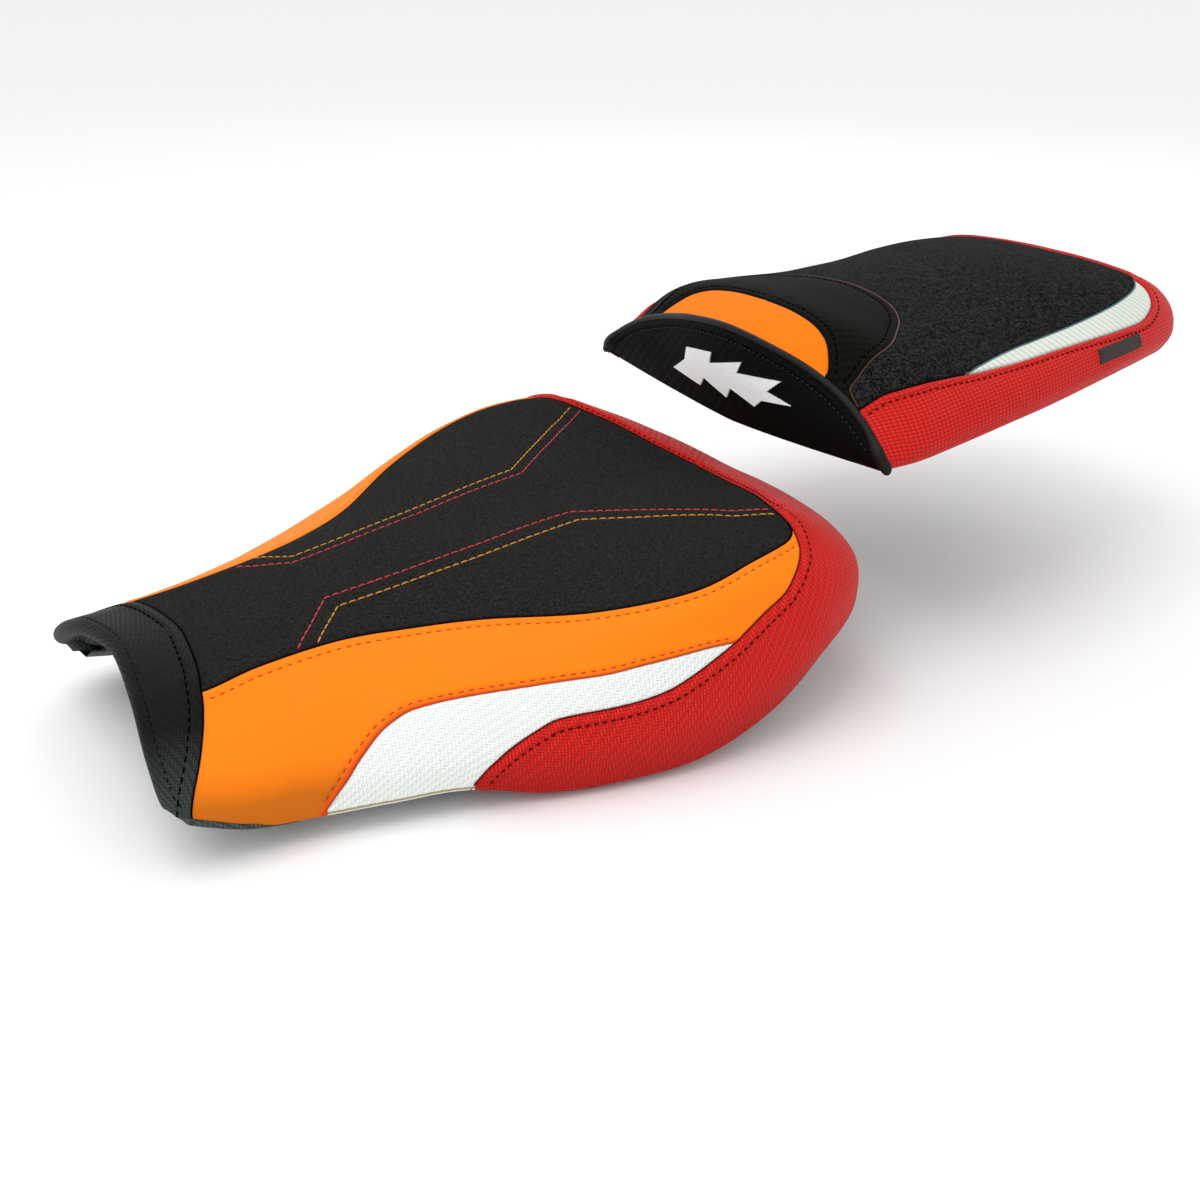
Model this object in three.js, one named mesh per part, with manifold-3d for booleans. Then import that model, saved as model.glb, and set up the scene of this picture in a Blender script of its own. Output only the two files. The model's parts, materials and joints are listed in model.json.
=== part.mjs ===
// Two-piece sport motorcycle seat: a rider seat (front, low) and a pillion seat (rear, raised),
// held in the places they take on the machine.  Millimetres.  +X forward, +Y rider's left, +Z up.
// Y = 0 is the centre plane; Z = 0 is the plane the rider seat's feet and centre pad stand on.
import * as THREE from 'three';
import Module from 'manifold-3d';

const wasm = await Module();
wasm.setup();
const { Manifold, CrossSection, Mesh: SolidMesh } = wasm;

// ---- cushions and pans -----------------------------------------------------------------------
const SKIN = 1.6;                // cover thickness
const RIDER_FOAM_IN = 4.4;       // foam surface under the outside of the cover
const PILLION_FOAM_IN = 6.4;     // deeper under the humped front of the rear seat
const FOAM_LIFT = 1.0;           // foam above pan
const MIN_FOAM = 1.2;            // least foam thickness
const PAN_INSET = 4.0;           // pan edge inside the cover's lower edge
const PAN_RISE = 1.0;            // pan edge above the cover's lower edge
const PAN_WALL = 2.6;
const ROOT = 1.2;                // how far webs and posts run up into the pan wall
const WEB = 2.4;                 // web thickness
const SEAM_A = 0.0036;           // half gap of a seam, across the section
const SEAM_V = 0.0008;           // half gap of a seam, along the rim

// ---- hardware --------------------------------------------------------------------------------
const GAP = 0.3;                 // clearance between neighbouring pieces
const OVERLAP = 0.5;             // how far joined solids run into each other
const SHANK_R = 2.4;             // rivet and screw shanks
const HOLE_R = SHANK_R + GAP;
// start: shank below the plate's underside; grip, hole: shank and hole above the plate's top
const RIVET = {
  headR: 5, headH: 1.8, headSides: 14, shankSides: 10, start: 0.5, grip: 3.4, hole: 3.9,
};
const SCREW = {
  headR: 4.6, headH: 2.4, headSides: 20, shankSides: 16, start: 0.6, grip: 6, hole: 7,
};
const SOCKET = { r: 2, h: 1.6, below: 0.1 };    // hex recess, started just below the head
const BUMPER = { r: 8, h: 6, bevel: 1.2, stemR: 3, stemH: 5.5, holeH: 6, postR: 9.5 };

const RIDER_REST_Z = 0;
const RIDER_FEET = [[118, 42, RIDER_REST_Z], [-95, 62, RIDER_REST_Z]];    // x, y, z: front, rear
const RIDER_TOP_Z = 60;          // above every point of the rider pan
const CENTRE_PAD = { length: 36, width: 26 };
const RIDER_WEBS = {
  y: 34, rear: -108, front: 168, crossX: [-82, -30, 48, 100], crossLength: 224, bottom: 12,
};
const TONGUE = {
  rear: 126, wideFront: 176, tipRear: 164, front: 188, width: 40, tipWidth: 26, z: 26.4, t: 2.5,
  ribRear: 130, ribFront: 168, ribWidth: 3, ribDrop: 2.5, rivetX: 146, rivetY: 13, postR: 6.5,
};
const BRACKET = {
  front: -114, rear: -164, y: 47, width: 22, z: 24.2, t: 2.5, endX: -161,
  lipRear: -160, lipWidth: 2, lipDrop: 5, boltX: -163, rivetX: -127, postR: 7,
};
const COLLAR = {
  r: 4.8, bore: 3.4, bottom: 19, flangeR: 9, flangeT: 1.6, flangeZ: BRACKET.z + BRACKET.t + GAP,
};
const BOLT = {
  shankR: 3, headR: 5.2, headH: 5, headLift: 0.9, washerR: 8.5, washerT: 1.2,
  washerZ: COLLAR.flangeZ + COLLAR.flangeT + GAP, end: 4, tipR: 2.1, tipH: 1.2, tipJoin: 1,
};

const PILLION_REST_Z = 90;
const PILLION_FEET = [[-178, 66, PILLION_REST_Z], [-328, 58, PILLION_REST_Z + 4]];
const PILLION_TOP_Z = 160;       // above every point of the pillion pan
const PILLION_CUT_Z = 80;        // below every hole in the pillion pan
const PILLION_WEBS = {
  y: 30, rear: -372, front: -160, bottom: 101, top: 140, flatLength: 68,
  cross: [[-326, 92, 113], [-276, 96, 112], [-196, 96, 110]],    // x, half length, end height
};
const STRIKER = {
  x: -226, span: 26, r: 3.5, top: 97.2, bottom: 76, bendRatio: 0.9,
  plateLength: 58, plateWidth: 38, plateT: 2.5, screwX: 21,
};
const PRONG = {
  y: 46, front: -352, rear: -414, width: 20, z: 103, t: 3, tipR: 8,
  ribFront: -376, ribWidth: 3, ribDrop: 3, screwX: -366, padRear: -386, padFront: -350,
};

// ---- cover stations --------------------------------------------------------------------------
// From the front to the rear centre; each is seven [x, y, z] points from the lower edge over the
// shoulder to the centre plane.  Mirrored for the far side.
const RIDER_STATIONS = [
  [[200, 89, 9], [208, 91, 21], [208, 74, 34], [205, 50, 45.5],
    [203, 33, 50], [201, 16, 53], [200, 0, 54]],
  [[177, 95, 2], [180, 97, 17], [180, 81, 31], [176, 51, 47],
    [172, 33, 51], [169, 17, 52.5], [167, 0, 53]],
  [[150, 100, 0], [152, 99, 17], [152, 82, 34], [150, 49, 50.4],
    [147, 34, 52.5], [144, 17, 54], [141, 0, 54.5]],
  [[118, 108, 0], [119, 107, 18], [118, 88, 38], [114, 52, 54],
    [112, 36, 57.5], [110, 19, 60.3], [108, 0, 61]],
  [[86, 117, 0], [86, 117, 20], [85, 98, 42], [83, 61.4, 55.7],
    [84, 33, 61.8], [82, 20, 63.6], [80, 0, 64]],
  [[50, 129, -7.6], [50, 131, 20.5], [51, 113, 46], [53.4, 76, 58.4],
    [54, 36, 65.2], [53, 20, 66.8], [51, 0, 67]],
  [[12, 139, -8.4], [12, 143, 20.5], [13, 133, 49], [14, 106, 63.8],
    [18, 38, 70], [19, 20, 70.6], [20, 0, 70.3]],
  [[-24, 145, -5.3], [-24, 149, 24.2], [-25, 142, 54], [-26, 125, 71],
    [-17, 45, 74.3], [-14, 24, 74], [-10, 0, 73]],
  [[-62, 145, 6.6], [-63, 150, 30], [-62, 144, 58], [-58, 127, 78.5],
    [-48, 62, 77], [-36, 34, 75], [-30, 0, 74]],
  [[-95.5, 135, 18.5], [-97.5, 142.5, 37], [-96, 140, 63], [-88, 121, 82],
    [-76, 84, 79], [-58, 45, 76], [-42, 0, 74]],
  [[-122.5, 121, 24], [-127, 126, 41], [-123.5, 123.5, 64], [-100, 104, 84],
    [-86, 76, 79.5], [-70, 42, 76], [-52, 0, 73.8]],
  [[-139, 95, 26], [-142.5, 99, 44], [-137.2, 94, 65], [-112, 78, 80],
    [-97, 60, 77.5], [-80, 33, 75], [-60, 0, 73.5]],
  [[-143, 60, 30], [-147, 62, 47], [-143.5, 60, 65], [-118, 52, 76],
    [-104, 40, 74.5], [-88, 22, 73.6], [-65, 0, 73.3]],
  [[-145, 30, 31], [-150, 31, 48], [-147, 30, 64], [-121, 26, 72.5],
    [-107, 20, 72.5], [-91, 10, 73], [-67, 0, 73.2]],
  [[-146, 0, 31], [-151, 0, 48], [-148, 0, 63], [-122, 0, 71],
    [-108, 0, 72], [-92, 0, 72.7], [-68, 0, 73.1]],
];
const PILLION_STATIONS = [
  [[-143, 123, 103.5], [-142, 118, 109.5], [-144, 104, 120], [-145, 85, 129.3],
    [-144, 60, 137], [-140, 32, 143], [-138, 0, 146]],
  [[-168, 122, 102.8], [-167, 122, 112], [-168, 110, 126.5], [-167, 90, 142],
    [-167, 62, 151.5], [-166, 32, 156], [-166, 0, 157.5]],
  [[-198, 121, 105.6], [-198, 121.5, 115.5], [-198, 113, 129], [-197, 93, 142.8],
    [-196, 64, 151.6], [-196, 33, 156.3], [-196, 0, 158.2]],
  [[-230, 119, 108.6], [-230, 120.5, 118], [-230, 113, 131], [-229, 94, 140.3],
    [-228, 65, 150.1], [-228, 33, 155.83], [-228, 0, 157.7]],
  [[-262, 116, 111], [-262, 118.5, 121], [-262, 112, 133], [-261, 94, 140.2],
    [-260, 66, 150.4], [-258, 33, 156.24], [-258, 0, 158.1]],
  [[-296, 112.2, 114.2], [-296, 115.2, 123.5], [-296, 110, 135], [-294, 93, 142.6],
    [-290, 66, 152.2], [-284, 33, 157.21], [-282, 0, 158.8]],
  [[-328, 107.8, 117], [-329, 111.8, 126], [-328, 107, 137], [-323, 91, 146.1],
    [-314, 66, 154.5], [-306, 33, 158.07], [-302, 0, 159.3]],
  [[-358, 101.6, 118.2], [-360, 105.6, 127.5], [-358, 102, 139], [-350, 88, 149.2],
    [-337, 64, 155.8], [-324, 32, 158.58], [-316, 0, 159.4]],
  [[-382, 93, 117.5], [-386, 96, 128.3], [-384, 92, 141], [-374, 80, 151],
    [-356, 58, 156], [-338, 28, 158.5], [-325, 0, 159.2]],
  [[-396, 76, 116.5], [-402, 79, 128.5], [-399, 76, 143], [-388, 67, 152.5],
    [-368, 48, 156.5], [-347, 23, 158.5], [-330, 0, 159]],
  [[-402, 52, 115.5], [-408, 54, 128], [-405, 52, 144], [-393, 45, 153.5],
    [-374, 32, 157], [-352, 15, 158.5], [-333, 0, 159]],
  [[-405, 26, 115], [-410, 27, 128], [-407, 26, 144], [-395, 23, 154],
    [-377, 16, 157], [-355, 8, 158.5], [-335, 0, 159]],
  [[-406, 0, 115], [-411, 0, 128], [-408, 0, 144], [-396, 0, 154],
    [-378, 0, 157], [-356, 0, 158.5], [-336, 0, 159]],
];

// height of the pan floor on the centre plane, per station
const RIDER_FLOOR = [45, 43.5, 40, 36, 33.5, 32, 32, 32, 33, 35, 38, 40, 42, 43, 43.5];
const PILLION_FLOOR = [99, 104, 109, 112, 114, 115, 116, 117, 118, 119, 120, 120, 120];

// ---- seams -----------------------------------------------------------------------------------
// v runs along the rim (0 front, 0.5 rear centre), a across (0 lower edge, 1 centre plane).
// Seams that cross the front, as [a, v]:
const NOSE_SEAM = [
  [0, 0.004], [0.117, 0.009], [0.232, 0.016], [0.308, 0.022], [0.372, 0.027],
  [0.422, 0.031], [0.48, 0.034], [0.578, 0.035], [0.76, 0.034], [1, 0.033]];
const ARCH_SEAM = [
  [0.405, 0.0046], [0.5, 0.0093], [0.523, 0.0255], [0.566, 0.0574], [0.594, 0.0689],
  [0.63, 0.0796], [0.697, 0.0974], [0.792, 0.1111], [0.883, 0.117], [1, 0.1201]];
const CRESCENT_SEAM = [
  [0.6, 0.0057], [0.621, 0.0119], [0.706, 0.0286], [0.807, 0.0364], [0.905, 0.0385], [1, 0.0385]];
// Seams that run along the sides, as [v, a]:
const RIDER_TOP_SEAM = [
  [0, 0.5], [0.31, 0.496], [0.345, 0.53], [0.386, 0.555], [0.434, 0.545], [0.477, 0.512],
  [0.5, 0.5]];
const RIDER_INSERT_SEAM = [      // upper edge of the white insert
  [0.075, 0], [0.087, 0.1298], [0.099, 0.2209], [0.112, 0.2772], [0.127, 0.3031],
  [0.143, 0.3062], [0.173, 0.3047], [0.201, 0.3119], [0.22, 0.3204], [0.245, 0.3133],
  [0.262, 0.3019]];
const REAR_BAND_SEAM = [         // upper edge of the red band; meets the top seam behind
  [0.144, 0], [0.152, 0.0973], [0.161, 0.1582], [0.172, 0.1963], [0.182, 0.2186],
  [0.204, 0.2302], [0.228, 0.2418], [0.239, 0.2558], [0.251, 0.2773], [0.262, 0.3019],
  [0.271, 0.3274], [0.281, 0.3521], [0.292, 0.3718], [0.302, 0.4082], [0.312, 0.4462],
  [0.325, 0.4978], ...RIDER_TOP_SEAM.slice(2)];
const PILLION_TOP_SEAM = [
  [0, 0.4049], [0.006, 0.4092], [0.026, 0.4134], [0.042, 0.4063], [0.056, 0.4049],
  [0.07, 0.4077], [0.084, 0.4077], [0.097, 0.4063], [0.114, 0.4309], [0.132, 0.457],
  [0.149, 0.4761], [0.167, 0.4895], [0.202, 0.4983], [0.223, 0.4993], [0.247, 0.4993],
  [0.272, 0.504], [0.303, 0.5139], [0.361, 0.5336], [0.417, 0.5414], [0.461, 0.5574],
  [0.5, 0.5792]];
const SIDE_BAND_SEAM = [         // leaves the top seam only beside the white insert
  ...PILLION_TOP_SEAM.slice(0, 8),
  [0.112, 0.4034], [0.128, 0.4049], [0.144, 0.4034], [0.179, 0.4049], [0.195, 0.4005],
  [0.214, 0.3934], [0.233, 0.3835], [0.254, 0.3735], [0.277, 0.3662], [0.305, 0.3973],
  [0.334, 0.4718], ...PILLION_TOP_SEAM.slice(-4)];
const PILLION_EDGE = 0.0055;     // covers start this far behind the front piping
const TAG = { v0: 0.2155, v1: 0.267, a0: 0.208, a1: 0.312, inner: 0.3, outer: 1.0 };

// ---- finishes --------------------------------------------------------------------------------
const ORANGE = 0xf08a1e, WHITE = 0xe9eeea, LEATHER = 0x242826, PLASTIC = 0x1b1c1e;
const STEEL = 0xa9adb2;
const FINISH = {
  leather: { color: LEATHER, roughness: 0.55 },
  piping: { color: LEATHER, roughness: 0.5 },
  suede: { color: 0x2a2a28, roughness: 0.95 },
  orangePanel: { color: ORANGE, roughness: 0.7 },
  orangeInsert: { color: ORANGE, roughness: 0.6 },
  whiteInsert: { color: WHITE, roughness: 0.6 },
  emblem: { color: WHITE, roughness: 0.5 },
  red: { color: 0xc3201c, roughness: 0.6 },
  foam: { color: 0x4a4b50, roughness: 0.95 },
  pan: { color: PLASTIC, roughness: 0.6 },
  tag: { color: PLASTIC, roughness: 0.8 },
  frontPanel: { color: PLASTIC, roughness: 0.5 },
  rubber: { color: 0x151515, roughness: 0.9 },
  tongue: { color: STEEL, roughness: 0.4, metalness: 0.8 },
  bracket: { color: STEEL, roughness: 0.45, metalness: 0.8 },
  plate: { color: STEEL, roughness: 0.4, metalness: 0.85 },
  fastener: { color: STEEL, roughness: 0.35, metalness: 0.9 },
  collar: { color: STEEL, roughness: 0.3, metalness: 0.9 },
  bolt: { color: STEEL, roughness: 0.35, metalness: 0.95 },
  striker: { color: STEEL, roughness: 0.3, metalness: 0.95 },
};

// ---- number, list and vector helpers ---------------------------------------------------------
const lerp = (a, b, t) => a + (b - a) * t;
const clamp01 = (t) => Math.max(0, Math.min(1, t));
const steps = (a, b, n) => Array.from({ length: n + 1 }, (_, i) => lerp(a, b, i / n));

// piecewise-linear lookup, held constant outside the list
function lookUp(list, x) {
  if (x <= list[0][0]) return list[0][1];
  for (let i = 1; i < list.length; i++) {
    const [x0, y0] = list[i - 1], [x1, y1] = list[i];
    if (x <= x1) return lerp(y0, y1, (x - x0) / (x1 - x0));
  }
  return list[list.length - 1][1];
}

// a list that ends on the centre, followed by its mirror image
const unfold = (list, mirror = (item) => item) => [
  ...list, ...list.slice(0, -1).reverse().map(mirror)];
const flipY = ([x, y, z]) => [x, -y, z];

const add = (a, b, s = 1) => [a[0] + b[0] * s, a[1] + b[1] * s, a[2] + b[2] * s];
const sub = (a, b) => add(a, b, -1);
const raise = (p, height) => add(p, [0, 0, height]);
const dot = (a, b) => a[0] * b[0] + a[1] * b[1] + a[2] * b[2];
const cross = (a, b) => [
  a[1] * b[2] - a[2] * b[1], a[2] * b[0] - a[0] * b[2], a[0] * b[1] - a[1] * b[0]];
function unit(a) {
  const length = Math.hypot(...a) || 1;
  return a.map((c) => c / length);
}

// Catmull-Rom curve through points q and r, with neighbours p and s
const curve = (p, q, r, s, f) => [0, 1, 2].map((k) => 0.5 * (2 * q[k] + (r[k] - p[k]) * f
  + (2 * p[k] - 5 * q[k] + 4 * r[k] - s[k]) * f * f
  + (3 * q[k] - p[k] - 3 * r[k] + s[k]) * f * f * f));

// ---- cover surface ---------------------------------------------------------------------------
class Net {
  constructor(stations, floor) {
    this.rows = unfold(stations, (row) => row.map(flipY));
    this.floor = unfold(floor);
    this.rimSpans = this.rows.length - 1;
    this.acrossSpans = stations[0].length - 1;
  }

  // point at fraction f of span i on station j; past the centre it reads the mirrored station
  onStation(j, i, f) {
    const row = this.rows[j], far = this.rows[this.rimSpans - j];
    const at = (k) => {
      if (k < 0) return sub(add(row[0], row[0]), row[1]);
      return k > this.acrossSpans ? far[2 * this.acrossSpans - k] : row[k];
    };
    return curve(at(i - 1), at(i), at(i + 1), at(i + 2), f);
  }

  point(v, a) {
    const rim = clamp01(v) * this.rimSpans, across = clamp01(a) * this.acrossSpans;
    const j = Math.min(Math.floor(rim), this.rimSpans - 1);
    const i = Math.min(Math.floor(across), this.acrossSpans - 1);
    const on = (station) => this.onStation(station, i, across - i);
    const q = on(j), r = on(j + 1);
    const p = j === 0 ? sub(add(q, q), r) : on(j - 1);
    const s = j === this.rimSpans - 1 ? sub(add(r, r), q) : on(j + 2);
    return curve(p, q, r, s, rim - j);
  }

  // outward normal, by differences kept inside the net
  normal(v, a) {
    const step = 0.002, rimA = Math.min(a, 0.992);
    const v0 = Math.max(0, v - step), v1 = Math.min(1, v + step);
    const a0 = Math.max(0, a - step), a1 = Math.min(0.9995, a + step);
    const alongRim = sub(this.point(v1, rimA), this.point(v0, rimA));
    return unit(cross(alongRim, sub(this.point(v, a1), this.point(v, a0))));
  }

  // pan floor: b 0 at the pan's edge, 1 on the centre plane
  floorPoint(v, b) {
    const edge = this.point(v, 0), centre = this.point(v, 1), normal = this.normal(v, 0.03);
    const level = Math.hypot(normal[0], normal[1]);
    const j = Math.min(Math.floor(v * this.rimSpans), this.rimSpans - 1);
    const centreZ = lerp(this.floor[j], this.floor[j + 1], v * this.rimSpans - j);
    return [
      lerp(edge[0] - normal[0] / level * PAN_INSET, centre[0], b),
      lerp(edge[1] - normal[1] / level * PAN_INSET, 0, b),
      lerp(edge[2] + PAN_RISE, centreZ, Math.sin(b * Math.PI / 2)),
    ];
  }
}
const rider = new Net(RIDER_STATIONS, RIDER_FLOOR);
const pillion = new Net(PILLION_STATIONS, PILLION_FLOOR);

// ---- patches and closed bodies ---------------------------------------------------------------
const weldKey = (point) => point.map((c) => Math.round(c * 200)).join();

function gridTriangles(ids) {
  const triangles = [];
  const put = (a, b, c) => {
    if (a !== b && b !== c && a !== c) triangles.push([a, b, c]);
  };
  for (let i = 0; i + 1 < ids.length; i++) {
    for (let j = 0; j + 1 < ids[i].length; j++) {
      put(ids[i][j], ids[i + 1][j], ids[i + 1][j + 1]);
      put(ids[i][j], ids[i + 1][j + 1], ids[i][j + 1]);
    }
  }
  return triangles;
}

// surface over columns of [v, a] pairs, welded by position
function patch(net, columns) {
  const verts = [], index = new Map();
  const vertex = ([v, a]) => {
    const point = net.point(v, a), normal = net.normal(v, a), key = weldKey(point);
    if (index.has(key)) {
      const same = verts[index.get(key)];
      same.normal = add(same.normal, normal);
    } else {
      index.set(key, verts.length);
      verts.push({ v, a, point, normal });
    }
    return index.get(key);
  };
  const triangles = gridTriangles(columns.map((column) => column.map(vertex)));
  verts.forEach((w) => { w.normal = unit(w.normal); });
  return { verts, triangles };
}

// weld two patches that share the centre line
function join(a, b) {
  const verts = a.verts.slice();
  const index = new Map(a.verts.map((w, i) => [weldKey(w.point), i]));
  const renumber = b.verts.map((w) => {
    const found = index.get(weldKey(w.point));
    if (found === undefined) return verts.push(w) - 1;
    verts[found].normal = unit(add(verts[found].normal, w.normal));
    return found;
  });
  const moved = b.triangles.map((triangle) => triangle.map((i) => renumber[i]));
  return { verts, triangles: a.triangles.concat(moved) };
}

const mirrorColumn = (column) => column.map(([v, a]) => [1 - v, a]);
const mirrorColumns = (columns) => columns.map(mirrorColumn).reverse();
const bothHalves = (net, columns) => join(patch(net, columns), patch(net, mirrorColumns(columns)));

// closed body between two point functions over one surface
function between({ verts, triangles }, outer, inner) {
  const count = verts.length, faces = [], edges = new Map();
  for (const [a, b, c] of triangles) {
    faces.push([a, b, c], [count + a, count + c, count + b]);
    for (const [p, q] of [[a, b], [b, c], [c, a]]) edges.set(`${p}_${q}`, [p, q]);
  }
  for (const [p, q] of edges.values()) {
    if (edges.has(`${q}_${p}`)) continue;
    faces.push([p, count + p, count + q], [p, count + q, q]);
  }
  return { points: [...verts.map(outer), ...verts.map(inner)], triangles: faces };
}
const cover = (surface, outer = 0, inner = -SKIN) => between(
  surface, (w) => add(w.point, w.normal, outer), (w) => add(w.point, w.normal, inner));

// round bar of n sides along a path, with the section carried round without twist
function sweep(path, r, n) {
  const points = [], triangles = [], last = path.length - 1;
  const tangents = path.map((_, i) => unit(
    sub(path[Math.min(i + 1, last)], path[Math.max(i - 1, 0)])));
  const start = Math.abs(tangents[0][2]) > 0.9 ? [1, 0, 0] : [0, 0, 1];
  let u = unit(cross(tangents[0], start));
  path.forEach((p, i) => {
    u = unit(add(u, tangents[i], -dot(u, tangents[i])));
    const w = cross(tangents[i], u);
    for (let k = 0; k < n; k++) {
      const angle = k / n * 2 * Math.PI;
      points.push(add(add(p, u, r * Math.cos(angle)), w, r * Math.sin(angle)));
    }
  });
  for (let i = 0; i < last; i++) {
    for (let k = 0; k < n; k++) {
      const a = i * n + k, b = i * n + (k + 1) % n;
      triangles.push([a, b, b + n], [a, b + n, a + n]);
    }
  }
  const end = last * n;
  for (let k = 1; k + 1 < n; k++) triangles.push([0, k + 1, k], [end, end + k, end + k + 1]);
  return { points, triangles };
}

// ---- solids ----------------------------------------------------------------------------------
const solid = ({ points, triangles }) => new Manifold(new SolidMesh({
  numProp: 3,
  vertProperties: new Float32Array(points.flat()),
  triVerts: new Uint32Array(triangles.flat()),
}));
const cone = (r0, r1, z0, z1, x, y, n) => (
  Manifold.cylinder(z1 - z0, r0, r1, n).translate([x, y, z0]));
const cylinder = (r, z0, z1, x, y, n = 24) => cone(r, r, z0, z1, x, y, n);
const bar = (x0, x1, y, width, z0, z1) => (
  Manifold.cube([x1 - x0, width, z1 - z0]).translate([x0, y - width / 2, z0]));
const union = (list) => list.reduce((a, b) => a.add(b));
const SIDES = [[1, 'left'], [-1, 'right']];
const eachSide = (make) => [-1, 1].map(make);

// rivet or screw entering a plate from below; `under` is the plate's underside
function fastener(kind, under, thickness, x, y, socket = false) {
  const top = under - GAP, bottom = top - kind.headH;
  let head = cylinder(kind.headR, bottom, top, x, y, kind.headSides);
  if (socket) {
    const z = bottom - SOCKET.below;
    head = head.subtract(cylinder(SOCKET.r, z, z + SOCKET.h, x, y, 6));
  }
  const shankTop = under + thickness + kind.grip;
  return head.add(cylinder(SHANK_R, under - kind.start, shankTop, x, y, kind.shankSides));
}
const fastenerHole = (kind, from, under, thickness, x, y) => (
  cylinder(HOLE_R, from, under + thickness + kind.hole, x, y, 16));

function bumper(x, y, z) {
  const { r, h, bevel, stemR, stemH } = BUMPER;
  return cone(r - bevel, r, z, z + bevel, x, y, 18)
    .add(cylinder(r, z + bevel, z + h, x, y, 18))
    .add(cylinder(stemR, z + h - OVERLAP, z + h + stemH, x, y, 12));
}
const bumperPosts = (feet, top) => feet.flatMap(([x, y, z]) => eachSide(
  (s) => cylinder(BUMPER.postR, z + BUMPER.h + GAP, top, x, s * y)));
const bumperHoles = (feet, from) => feet.flatMap(([x, y, z]) => eachSide(
  (s) => cylinder(BUMPER.stemR + GAP, from, z + BUMPER.h + BUMPER.holeH, x, s * y, 16)));

// ---- meshes ----------------------------------------------------------------------------------
const group = new THREE.Group();
group.name = 'motorcycle_seat';

function addMesh(name, positions, indices, finish) {
  const geometry = new THREE.BufferGeometry();
  geometry.setAttribute('position', new THREE.Float32BufferAttribute(positions, 3));
  geometry.setIndex(indices);
  geometry.computeVertexNormals();
  const material = new THREE.MeshStandardMaterial({ metalness: 0, ...finish, name });
  const mesh = new THREE.Mesh(geometry, material);
  mesh.name = name;
  group.add(mesh);
}
const addBody = (name, { points, triangles }, finish) => (
  addMesh(name, points.flat(), triangles.flat(), finish));
function addSolid(name, manifold, finish) {
  const { vertProperties, triVerts } = manifold.getMesh();
  addMesh(name, vertProperties, Array.from(triVerts), finish);
}
const addCoverPair = (name, net, columns, finish) => {
  addBody(`${name}_left`, cover(patch(net, columns)), finish);
  addBody(`${name}_right`, cover(patch(net, mirrorColumns(columns))), finish);
};
const addBumpers = (seat, feet, s, side) => feet.forEach(([x, y, z], i) => {
  addSolid(`${seat}_bumper_${i ? 'rear' : 'front'}_${side}`, bumper(x, s * y, z), FINISH.rubber);
});

// ---- cover panel layout ----------------------------------------------------------------------
const RIDER_GRID = steps(0, 1, 42), PILLION_GRID = steps(0, 1, 36);
const within = (grid, low, high) => grid.filter((v) => v > low && v < high);
const lowerEdge = () => 0;
const beside = (seam, offset) => (t) => lookUp(seam, t) + offset;

// columns at the given v, each running across from one limit to the other
const sideColumns = (vs, from, to, n) => (
  vs.map((v) => steps(from(v), to(v), n).map((a) => [v, a])));

// columns that follow front seams: limits are given in v for each a
function frontColumns(as, from, to, n) {
  const rows = as.map((a) => steps(from(a), to(a), n).map((v) => [v, a]));
  return steps(0, n, n).map((k) => rows.map((row) => row[k]));
}

// ---- rider seat: covers ----------------------------------------------------------------------
const behindNoseSeam = beside(NOSE_SEAM, SEAM_V);

function addRiderNoseBand() {
  const as = [0, 0.117, 0.232, 0.308, 0.372, 0.44, 0.5, 0.62, 0.75, 0.875, 1];
  const columns = frontColumns(as, () => 0, beside(NOSE_SEAM, -SEAM_V), 3);
  addBody('rider_nose_band', cover(bothHalves(rider, columns)), FINISH.leather);
}

// between the two long seams, from the nose seam to the rear centre
function addRiderTop() {
  const vs = [0.034, ...within(RIDER_GRID, 0.038, 0.496), 0.5];
  const columns = sideColumns(vs, beside(RIDER_TOP_SEAM, SEAM_A), () => 1, 4);
  columns[0] = columns[0].map(([, a]) => [behindNoseSeam(a), a]);
  addBody('rider_top_panel', cover(bothHalves(rider, columns)), FINISH.suede);
}

function addRiderSidePanels() {
  const low = (v) => {
    if (v >= 0.262) return lookUp(REAR_BAND_SEAM, v) + SEAM_A;
    return v > 0.0749 ? lookUp(RIDER_INSERT_SEAM, v) + SEAM_A : 0;
  };
  const vs = [
    ...within(RIDER_GRID, 0.034, 0.07), 0.0749, 0.081, 0.087, 0.099, 0.112, 0.127,
    ...within(RIDER_GRID, 0.135, 0.255), 0.262, 0.271, 0.281, 0.292, 0.302, 0.312, 0.318];
  // the first two columns follow the nose seam
  const noseAs = steps(0, RIDER_TOP_SEAM[0][1] - SEAM_A, 4);
  const nextV = 1 / rider.rimSpans + 0.008;
  const columns = [
    noseAs.map((a) => [behindNoseSeam(a), a]),
    noseAs.map((a) => [lerp(behindNoseSeam(a), nextV, 0.5), a]),
    ...sideColumns(vs, low, beside(RIDER_TOP_SEAM, -SEAM_A), 4),
  ];
  addCoverPair('rider_side_panel', rider, columns, FINISH.orangePanel);
}

function addRiderInserts() {
  const vs = [
    0.0785, 0.087, 0.099, 0.112, 0.127, 0.1425, 0.152, 0.161, 0.172, 0.182,
    ...within(RIDER_GRID, 0.19, 0.245), 0.255];
  const low = (v) => (v < 0.1441 ? 0 : lookUp(REAR_BAND_SEAM, v) + SEAM_A);
  const columns = sideColumns(vs, low, beside(RIDER_INSERT_SEAM, -SEAM_A), 3);
  addCoverPair('rider_side_insert', rider, columns, FINISH.whiteInsert);
}

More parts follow.
